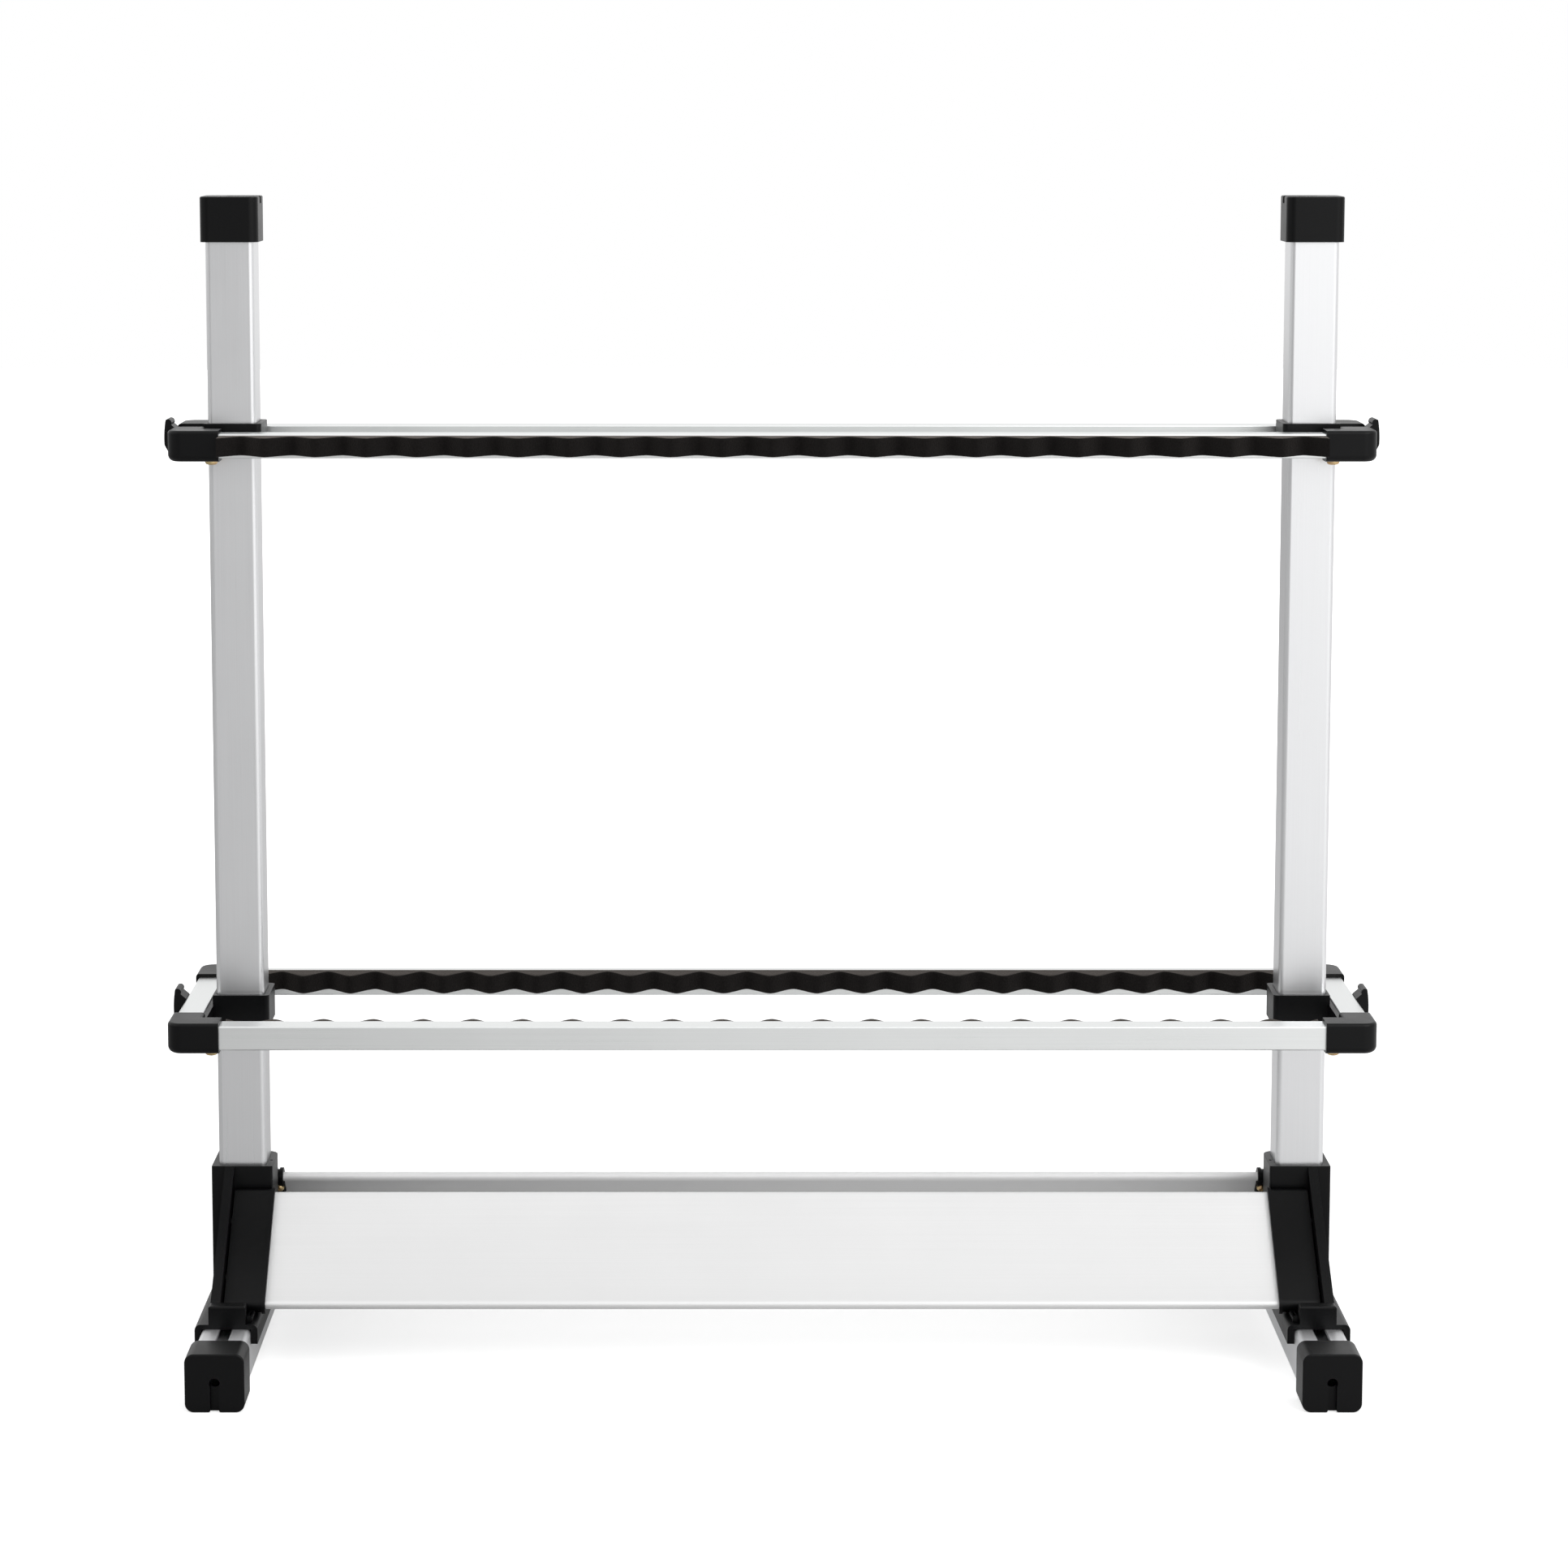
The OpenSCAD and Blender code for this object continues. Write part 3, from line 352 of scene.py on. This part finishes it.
def screw_points(head_r, head_h, shank_r, shank_l):
    """A pan-head screw about z, its seat on z = 0. The profile runs from the middle of the head along
    z = rim + (h - rim)*sqrt(1 - (r/R)^4) to the rim, back under the head and down the shank to a blunt
    point. The cross recess lowers the head by the larger of two smooth bars, deepest in the middle."""
    turn = np.linspace(0, 2*math.pi, SCREW_SIDES, endpoint=False)
    share = np.linspace(HEAD_MIDDLE, 1, HEAD_STEPS)
    shank = shank_r/head_r
    r = np.concatenate([share, [RIM_TURN, shank, shank, shank, TIP_WIDTH*shank]])
    z = np.concatenate([
        head_h*(HEAD_RIM + (1 - HEAD_RIM)*np.sqrt(1 - share**4)),
        [0, 0, -shank_l/2, TIP_LENGTH*shank_r - shank_l, -shank_l]])
    x = head_r*r[:, None]*np.cos(turn)
    y = head_r*r[:, None]*np.sin(turn)

    def bar(along, across):
        """Depth of one bar as a share of the recess."""
        inside = np.clip((BAR_WIDTH*head_r - np.abs(across))/(BAR_WALL*head_r), 0, 1)
        reach = np.clip((BAR_REACH*head_r - np.abs(along))/(BAR_END*head_r), 0, 1)
        return inside*reach*(1 - BAR_RISE*(along/(BAR_REACH*head_r))**2)

    on_top = np.arange(len(r)) < len(share)
    recess = RECESS*head_h*np.maximum(bar(x, y), bar(y, x))*on_top[:, None]
    return np.stack([x, y, z[:, None] - recess], -1)


def islands(node):
    """Corner points of each separate body in a CAD node, found by spreading the lowest label over
    the triangles until nothing changes."""
    mesh = NODES[node].data
    co = np.empty(len(mesh.vertices)*3, np.float32)
    mesh.vertices.foreach_get("co", co)
    steps = np.round(co.reshape(-1, 3)*CORNER_STEPS).astype(np.int64)
    keys, inverse = np.unique(steps, axis=0, return_inverse=True)
    mesh.calc_loop_triangles()
    tri = np.empty(len(mesh.loop_triangles)*3, np.int32)
    mesh.loop_triangles.foreach_get("vertices", tri)
    tri = inverse.reshape(-1)[tri.reshape(-1, 3)]
    label = np.arange(len(keys))
    while True:
        lower = label.copy()
        np.minimum.at(lower, tri, np.repeat(label[tri].min(1)[:, None], 3, 1))
        if (lower == label).all():
            break
        label = lower
    return [keys[label == mark]/CORNER_STEPS for mark in np.unique(label)]


def screw_frame(points):
    """Seat and axes of a screw from its corner points, with the radius and height of its head and the
    radius and length of its shank. Its axis is the main direction whose spread differs most from the
    other two, and points to the end that is widest."""
    middle = points.mean(0)
    extent, axes = np.linalg.eigh(np.cov((points - middle).T))
    pick = 2 if extent[2] - extent[1] > extent[1] - extent[0] else 0
    w = axes[:, pick]
    u, v = (axes[:, k] for k in range(3) if k != pick)
    t, a, b = ((points - middle) @ axis for axis in (w, u, v))
    a0, b0 = (a.max() + a.min())/2, (b.max() + b.min())/2
    radius = np.hypot(a - a0, b - b0)
    wide = radius > WIDE*radius.max()
    if t[wide].mean() < (t.max() + t.min())/2:
        w, t = -w, -t
    seat = t[wide].min()
    shank = radius[t < seat - SEAT_GAP].max()
    foot = middle + a0*u + b0*v + seat*w
    return foot, np.stack([u, np.cross(w, u), w]), radius.max(), t.max() - seat, shank, seat - t.min()


# Shader parts

def link(tree, a, b):
    """Links output a to input b."""
    tree.links.new(a, b)


def new_group(name, inputs, outputs):
    """An empty shader node group with its sockets, and its input and output nodes."""
    group = bpy.data.node_groups.new(name, "ShaderNodeTree")
    for label, kind, value in inputs:
        socket = group.interface.new_socket(name=label, in_out="INPUT", socket_type=kind)
        if value is not None:
            socket.default_value = value
    for label in outputs:
        group.interface.new_socket(name=label, in_out="OUTPUT", socket_type="NodeSocketFloat")
    return group, group.nodes.new("NodeGroupInput"), group.nodes.new("NodeGroupOutput")


def set_input(tree, socket, value):
    """Links an input to the value, if that is a socket, or else sets it."""
    if isinstance(value, bpy.types.NodeSocket):
        link(tree, value, socket)
    else:
        socket.default_value = value


def put_group(tree, group, **values):
    """A group in a tree, with sockets linked and numbers set by the name of the input."""
    node = tree.nodes.new("ShaderNodeGroup")
    node.node_tree = group
    for label, value in values.items():
        set_input(tree, node.inputs[label], value)
    return node.outputs


def maths(tree, operation, *values):
    """A Math node on sockets or numbers."""
    node = tree.nodes.new("ShaderNodeMath")
    node.operation = operation
    for socket, value in zip(node.inputs, values):
        set_input(tree, socket, value)
    return node.outputs[0]


def between(tree, mask, low, high):
    """low where the mask is 0 and high where it is 1; each of the three is a socket or a number."""
    return maths(tree, "MULTIPLY_ADD", mask, maths(tree, "SUBTRACT", high, low), low)


def remap(tree, value, low, high, to_low=0, to_high=1):
    """A value's range brought to another, and held there beyond both ends."""
    node = tree.nodes.new("ShaderNodeMapRange")
    ends = {"From Min": low, "From Max": high, "To Min": to_low, "To Max": to_high}
    for label, number in ends.items():
        node.inputs[label].default_value = number
    link(tree, value, node.inputs["Value"])
    return node.outputs["Result"]


def noise(tree, vector, scale, detail=2.0, rough=0.5):
    """Smooth noise; the scale may be a socket."""
    node = tree.nodes.new("ShaderNodeTexNoise")
    set_input(tree, node.inputs["Scale"], scale)
    node.inputs["Detail"].default_value = detail
    node.inputs["Roughness"].default_value = rough
    link(tree, vector, node.inputs["Vector"])
    return node.outputs["Fac"]


def tint(tree, mask, dark, light):
    """Colour between two tones by a mask; a tone may be a socket."""
    mix = tree.nodes.new("ShaderNodeMix")
    mix.data_type = "RGBA"
    ends = [socket for socket in mix.inputs if socket.type == "RGBA"]
    for socket, tone in zip(ends, (dark, light)):
        set_input(tree, socket, tone if isinstance(tone, bpy.types.NodeSocket) else (*tone, 1))
    link(tree, mask, mix.inputs["Factor"])
    return next(socket for socket in mix.outputs if socket.type == "RGBA")


def parts(tree, vector):
    """The three parts of a vector."""
    split = tree.nodes.new("ShaderNodeSeparateXYZ")
    link(tree, vector, split.inputs[0])
    return tuple(split.outputs)


def shade(colour, factor):
    """A colour made darker or lighter by a factor, with no channel above 1."""
    return tuple(min(1.0, c*factor) for c in colour)


def tones(tree, mask, colour, shares):
    """A colour that a mask shades between two shares of itself."""
    return tint(tree, mask, *(shade(colour, share) for share in shares))


def bump(tree, shader, height, strength, distance):
    """Height that the shader sees in its normal, at a strength and over a real distance."""
    node = tree.nodes.new("ShaderNodeBump")
    node.inputs["Strength"].default_value = strength
    node.inputs["Distance"].default_value = distance
    link(tree, height, node.inputs["Height"])
    link(tree, node.outputs["Normal"], shader.inputs["Normal"])


def drawn_grain():
    """Group: fine lines along a drawn profile, and the slow clouds of its anodising."""
    if "drawn_grain" in bpy.data.node_groups:
        return bpy.data.node_groups["drawn_grain"]
    group, inside, out = new_group(
        "drawn_grain",
        [("Vector", "NodeSocketVector", None), ("Stretched", "NodeSocketVector", None)],
        ["Lines", "Clouds"])
    lines = noise(group, inside.outputs["Stretched"], scale=1.0, detail=3.0, rough=0.65)
    clouds = noise(group, inside.outputs["Vector"], scale=11.0, detail=3.0, rough=0.55)
    link(group, remap(group, lines, *LINE_RANGE), out.inputs["Lines"])
    link(group, remap(group, clouds, *CLOUD_RANGE), out.inputs["Clouds"])
    return group


def fine_grit():
    """Group: the fine grit of a skin, the cut cells of a foam, and slow patches."""
    if "fine_grit" in bpy.data.node_groups:
        return bpy.data.node_groups["fine_grit"]
    group, inside, out = new_group(
        "fine_grit",
        [("Vector", "NodeSocketVector", None), ("Scale", "NodeSocketFloat", 1500.0)],
        ["Grit", "Cells", "Patches"])
    vector, scale = inside.outputs["Vector"], inside.outputs["Scale"]
    cells = group.nodes.new("ShaderNodeTexVoronoi")
    link(group, vector, cells.inputs["Vector"])
    link(group, scale, cells.inputs["Scale"])
    grit = noise(group, vector, scale, detail=2.0, rough=0.6)
    patches = noise(group, vector, scale=23.0, detail=3.0, rough=0.6)
    link(group, remap(group, grit, *GRIT_RANGE), out.inputs["Grit"])
    link(group, remap(group, cells.outputs["Distance"], *CELL_RANGE), out.inputs["Cells"])
    link(group, remap(group, patches, *CLOUD_RANGE), out.inputs["Patches"])
    return group


# Finishes

def new_material(name):
    """A material with its tree, its shader and the socket that gives Object coordinates."""
    material = bpy.data.materials.new(name)
    material.use_nodes = True
    tree = material.node_tree
    shader = next(n for n in tree.nodes if n.type == "BSDF_PRINCIPLED")
    place = tree.nodes.new("ShaderNodeTexCoord")
    return material, tree, shader, place.outputs["Object"]


def drawn_aluminium(name, colour, length_axis, rough, painted_by_height):
    """Anodised aluminium with its fine lines along one axis of the rack. Where asked, as on the panels,
    it is a little smoother on the lower bead, and its colour has painted shade low and painted light
    towards the upper edge."""
    material, tree, shader, place = new_material(name)
    stretch = tree.nodes.new("ShaderNodeMapping")
    scale = [LINES_ACROSS]*3
    scale[length_axis] = LINES_ALONG
    stretch.inputs["Scale"].default_value = scale
    link(tree, place, stretch.inputs["Vector"])
    marks = put_group(tree, drawn_grain(), Vector=place, Stretched=stretch.outputs["Vector"])
    both = between(tree, CLOUD_SHARE, marks["Lines"], marks["Clouds"])
    metal = tones(tree, both, colour, METAL_TONES)
    matt = remap(tree, both, 0, 1, *(rough + more for more in METAL_ROUGH))
    if painted_by_height:
        height = parts(tree, place)[Z]
        matt = maths(tree, "MULTIPLY", matt, remap(tree, height, BEAD_TOP, BEAD_TOP + MM, BEAD_SMOOTH, 1))
        # Painted shade and light: the colour is scaled by height, darker at the lower bead and paler at
        # the upper edge.
        painted_shade = tree.nodes.new("ShaderNodeVectorMath")
        painted_shade.operation = "SCALE"
        link(tree, metal, painted_shade.inputs[0])
        link(tree, remap(tree, height, BEAD_TOP, PANEL_TOP, *PANEL_PAINTED_SHADE), painted_shade.inputs["Scale"])
        metal = painted_shade.outputs[0]
    link(tree, metal, shader.inputs["Base Color"])
    link(tree, matt, shader.inputs["Roughness"])
    shader.inputs["Metallic"].default_value = 1.0
    bump(tree, shader, marks["Lines"], strength=0.12, distance=0.04*MM)
    return material


def moulded_plastic(name, colour):
    """Black plastic with the matt, finely sparked skin of its mould and faint rubbed patches."""
    material, tree, shader, place = new_material(name)
    skin = put_group(tree, fine_grit(), Scale=PLASTIC_GRIT, Vector=place)
    link(tree, tones(tree, skin["Patches"], colour, PLASTIC_TONES), shader.inputs["Base Color"])
    link(tree, remap(tree, skin["Patches"], 0, 1, *PLASTIC_ROUGH), shader.inputs["Roughness"])
    shader.inputs["Specular IOR Level"].default_value = 0.18
    bump(tree, shader, skin["Grit"], strength=0.28, distance=0.06*MM)
    return material


def cut_foam(name, colour):
    """Closed-cell foam: dull, with dark cut cells between paler walls."""
    material, tree, shader, place = new_material(name)
    skin = put_group(tree, fine_grit(), Scale=FOAM_CELLS, Vector=place)
    both = between(tree, FOAM_PATCHES, skin["Cells"], skin["Patches"])
    link(tree, tones(tree, both, colour, FOAM_TONES), shader.inputs["Base Color"])
    link(tree, remap(tree, skin["Grit"], 0, 1, *FOAM_ROUGH), shader.inputs["Roughness"])
    shader.inputs["Specular IOR Level"].default_value = 0.15
    shader.inputs["Sheen Weight"].default_value = 0.31
    shader.inputs["Sheen Roughness"].default_value = 0.33
    shader.inputs["Sheen Tint"].default_value = (1.0, 0.88, 0.80, 1)
    bump(tree, shader, skin["Cells"], strength=0.6, distance=0.18*MM)
    return material


def plated_steel(name, colour, second, rough):
    """Zinc plated steel whose passivated film turns between two tones."""
    material, tree, shader, place = new_material(name)
    skin = put_group(tree, fine_grit(), Scale=PLATING_GRIT, Vector=place)
    film = remap(tree, noise(tree, place, PLATING_FILM), *FILM_RANGE)
    link(tree, tint(tree, film, colour, second), shader.inputs["Base Color"])
    link(tree, remap(tree, skin["Grit"], 0, 1, rough, rough + PLATING_ROUGH), shader.inputs["Roughness"])
    shader.inputs["Metallic"].default_value = 1.0
    bump(tree, shader, skin["Grit"], strength=0.15, distance=0.03*MM)
    return material


# CAD nodes

def named(*endings):
    """CAD nodes whose names end in one of the given words."""
    found = [n for n in NODES if n.endswith(endings)]
    if not found:
        raise RuntimeError(f"no solids end in {endings}")
    return found


def dress(names, material):
    """Gives CAD nodes a material through their material slots."""
    for name in names:
        node = NODES[name]
        if not node.material_slots:
            node.data.materials.append(material)
        for slot in node.material_slots:
            slot.material = material


def body_of_node(node):
    """Name of the body that a CAD node belongs to."""
    for body, members in frame["record"]["behaviour"]["bodies"].items():
        if node in members:
            return body
    raise RuntimeError(f"{node} is in no body")


# Material, its colour, axis of its lines, roughness, whether it gets painted shade and light by height,
# and the nodes' endings
PROFILES = (
    ("post_aluminium", "tube", Z, 0.30, False, ("_post",)),
    ("foot_aluminium", "tube", Y, 0.48, False, ("_foot",)),
    ("long_rail_aluminium", "rail", X, 0.30, False, ("_front_rail", "_back_rail")),
    ("side_rail_aluminium", "rail", Y, 0.30, False, ("_left_rail", "_right_rail")),
    # The panels' colour gets painted shade at the bead and painted light at the upper edge.
    ("panel_aluminium", "panel", X, 0.74, True, ("_panel",)),
)


class RACK_OT_aluminium(bpy.types.Operator):
    """Finish posts, feet, rails and panels in aluminium."""

    bl_idname = "rod_rack.aluminium"
    bl_label = "Aluminium profiles"

    def execute(self, context):
        colours = context.scene.rod_rack.colours
        for name, colour, axis, rough, painted_by_height, endings in PROFILES:
            dress(named(*endings), drawn_aluminium(name, getattr(colours, colour), axis, rough, painted_by_height))
        return {"FINISHED"}


class RACK_OT_plastic(bpy.types.Operator):
    """Finish caps, brackets, corner blocks, collars and hooks in moulded plastic."""

    bl_idname = "rod_rack.plastic"
    bl_label = "Moulded plastic"

    def execute(self, context):
        material = moulded_plastic("black_plastic", context.scene.rod_rack.colours.plastic)
        dress(named("_cap", "_bracket", "_corner", "_collar", "_hook"), material)
        return {"FINISHED"}


class RACK_OT_nuts(bpy.types.Operator):
    """Finish bolts and nuts in bright plated steel."""

    bl_idname = "rod_rack.nuts"
    bl_label = "Bolts and nuts"

    def execute(self, context):
        steel = context.scene.rod_rack.colours.steel
        material = plated_steel("steel", steel, shade(steel, STEEL_TONE), STEEL_ROUGH)
        dress(named("_bolts", "_nuts"), material)
        return {"FINISHED"}


class RACK_OT_screws(bpy.types.Operator):
    """Replace the plain screws by ones with a cross recess."""

    bl_idname = "rod_rack.screws"
    bl_label = "Recessed screws"

    def execute(self, context):
        zinc = context.scene.rod_rack.colours.zinc
        redder = tuple(np.multiply(zinc, ZINC_TONE).tolist())
        material = plated_steel("yellow_zinc", zinc, redder, ZINC_ROUGH)
        for node in named("_screws"):
            grids = []
            for points in islands(node):
                seat, axes, *sizes = screw_frame(points)
                grids.append(seat + screw_points(*sizes) @ axes)
            piece = closed_mesh(node + "_recessed", np.stack(grids), SCREW_SHARP)
            piece.data.materials.append(material)
            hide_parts(node)
            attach(piece, body_of_node(node))
        return {"FINISHED"}


class RACK_OT_foam(bpy.types.Operator):
    """Replace the foam solids by strips with soft edges and uneven cut faces."""

    bl_idname = "rod_rack.foam"
    bl_label = "Foam strips"

    def execute(self, context):
        settings = context.scene.rod_rack
        material = cut_foam("foam", settings.colours.foam)
        rng = np.random.default_rng(FOAM_SEED)
        sizes = settings.foam
        for node, towards, pitch in (("lower_front_foam", 1, sizes.pitch),
                                     ("lower_back_foam", -1, sizes.back_pitch),
                                     ("upper_front_foam", -1, sizes.pitch),
                                     ("upper_back_foam", 1, sizes.pitch)):
            low, high = (np.array(corner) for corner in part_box(node))
            points = foam_points(low, high, towards, pitch, sizes, rng)
            strip = closed_mesh(node + "_strip", points[None], FOAM_SHARP)
            strip.data.materials.append(material)
            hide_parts(node)
            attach(strip, body_of_node(node))
        return {"FINISHED"}


# Studio

def lamp(name, place, size, power):
    """A rectangular lamp that points at the middle of the rack."""
    light = bpy.data.lights.new(name, "AREA")
    light.shape = "RECTANGLE"
    light.size, light.size_y = size
    light.energy = power
    thing = bpy.data.objects.new(name, light)
    bpy.context.scene.collection.objects.link(thing)
    thing.location = place
    back = np.array(place) - np.array(AIM)
    thing.rotation_euler = Vector(back).to_track_quat("Z", "Y").to_euler()


def room_light(world, studio):
    """White to the camera. Reflections see a white room whose front wall is dim on the left and
    bright on the right, and matt surfaces get an even level."""
    world.use_nodes = True
    tree = world.node_tree
    background = next(n for n in tree.nodes if n.type == "BACKGROUND")
    path = tree.nodes.new("ShaderNodeLightPath").outputs
    place = tree.nodes.new("ShaderNodeTexCoord")
    side, depth, height = parts(tree, place.outputs["Generated"])
    wall = remap(tree, side, *FRONT_TURN, studio.room_left, studio.room_right)
    wall = between(tree, remap(tree, side, *RIGHT_WALL), wall, RIGHT_LEVEL)
    wall = between(tree, remap(tree, side, *LEFT_WALL), wall, LEFT_LEVEL)
    ahead = maths(tree, "MULTIPLY", remap(tree, depth, *FRONT_DEPTH, 1, 0),
                  remap(tree, height, *FRONT_HEIGHT, 1, 0))
    mirrored = between(tree, ahead, studio.room_back, wall)
    mirrored = between(tree, remap(tree, height, *CEILING), mirrored, studio.room_top)
    shiny = maths(tree, "MAXIMUM", path["Is Glossy Ray"], path["Is Transmission Ray"])
    others = between(tree, shiny, studio.ambient, mirrored)
    link(tree, between(tree, path["Is Camera Ray"], others, 1.0), background.inputs["Strength"])
    background.inputs["Color"].default_value = (1, 1, 1, 1)


def floor_material(studio):
    """Pale floor whose own light brings it to white for the camera, fully so from some distance on,
    so that only the rack's shadow stays darker. Reflections see it darker than it is, with a glow
    that grows to the right and far in front of the rack."""
    material, tree, shader, place = new_material("floor")
    shader.inputs["Roughness"].default_value = 0.9
    shader.inputs["Specular IOR Level"].default_value = 0.1
    path = tree.nodes.new("ShaderNodeLightPath").outputs
    paper = noise(tree, place, scale=3.0, detail=3.0)
    pale = tones(tree, paper, studio.floor, FLOOR_TONES)
    grey = shade(studio.floor, studio.mirrored_floor)
    link(tree, tint(tree, path["Is Glossy Ray"], pale, grey), shader.inputs["Base Color"])
    x, y, _ = parts(tree, place)
    right = maths(tree, "ADD", remap(tree, x, *NEAR_RIGHT), remap(tree, x, *FAR_RIGHT))
    lit = maths(tree, "ADD", right, remap(tree, y, *FAR_FRONT))
    far = tree.nodes.new("ShaderNodeVectorMath")
    far.operation = "LENGTH"
    link(tree, place, far.inputs[0])
    white = remap(tree, far.outputs["Value"], *WHITE_FROM, studio.whiten, 1.0)
    glow = maths(tree, "ADD", maths(tree, "MULTIPLY", path["Is Camera Ray"], white),
                 maths(tree, "MULTIPLY", path["Is Glossy Ray"], lit))
    shader.inputs["Emission Color"].default_value = (1, 1, 1, 1)
    link(tree, glow, shader.inputs["Emission Strength"])
    return material


class RACK_OT_stage(bpy.types.Operator):
    """Lay the floor, hang the lamps and place the camera."""

    bl_idname = "rod_rack.stage"
    bl_label = "Studio"

    def execute(self, context):
        scene = context.scene
        studio = scene.rod_rack.studio
        scene.view_settings.view_transform = "Standard"
        if scene.world is None:
            scene.world = bpy.data.worlds.new("studio")
        room_light(scene.world, studio)
        mesh = bpy.data.meshes.new("floor")
        corners = [(x*FLOOR_HALF, y*FLOOR_HALF, 0) for x, y in ((-1, -1), (1, -1), (1, 1), (-1, 1))]
        mesh.from_pydata(corners, [], [(0, 1, 2, 3)])
        floor = bpy.data.objects.new("floor", mesh)
        scene.collection.objects.link(floor)
        floor.data.materials.append(floor_material(studio))
        for label, (place, size) in LAMPS.items():
            lamp(label + "_lamp", place, size, getattr(studio, label))
        eye = bpy.data.cameras.new("camera")
        eye.sensor_width = SENSOR_WIDTH
        eye.lens = studio.lens
        eye.shift_x, eye.shift_y = CAMERA_SHIFT
        camera = bpy.data.objects.new("camera", eye)
        scene.collection.objects.link(camera)
        camera.location = CAMERA_PLACE
        camera.rotation_euler = (math.radians(90 - CAMERA_TILT), 0, 0)
        scene.camera = camera
        return {"FINISHED"}


class RACK_PT_sidebar(bpy.types.Panel):
    """Settings and operators of the rod rack."""

    bl_idname = "RACK_PT_sidebar"
    bl_label = "Rod rack"
    bl_space_type = "VIEW_3D"
    bl_region_type = "UI"
    bl_category = "Rod rack"

    def draw(self, context):
        settings = context.scene.rod_rack
        for group in (settings.colours, settings.foam, settings.studio):
            box = self.layout.box()
            for label in group.bl_rna.properties.keys():
                if label not in ("rna_type", "name"):
                    box.prop(group, label)
        for operator in OPERATORS:
            self.layout.operator(operator.bl_idname)


GROUPS = (RackColours, RackFoam, RackStudio, RackSettings)
OPERATORS = (RACK_OT_stage, RACK_OT_aluminium, RACK_OT_plastic, RACK_OT_nuts, RACK_OT_screws,
             RACK_OT_foam)


def register():
    """Adds the classes, and the settings to the scene."""
    for item in (*GROUPS, *OPERATORS, RACK_PT_sidebar):
        bpy.utils.register_class(item)
    bpy.types.Scene.rod_rack = bpy.props.PointerProperty(type=RackSettings)


def unregister():
    """Takes the settings and the classes away again."""
    del bpy.types.Scene.rod_rack
    for item in (RACK_PT_sidebar, *reversed(OPERATORS), *reversed(GROUPS)):
        bpy.utils.unregister_class(item)


def main():
    """Dresses the rack."""
    register()
    bpy.ops.rod_rack.stage()
    bpy.ops.rod_rack.aluminium()
    bpy.ops.rod_rack.plastic()
    bpy.ops.rod_rack.nuts()
    bpy.ops.rod_rack.screws()
    bpy.ops.rod_rack.foam()


if __name__ == "__main__":
    main()
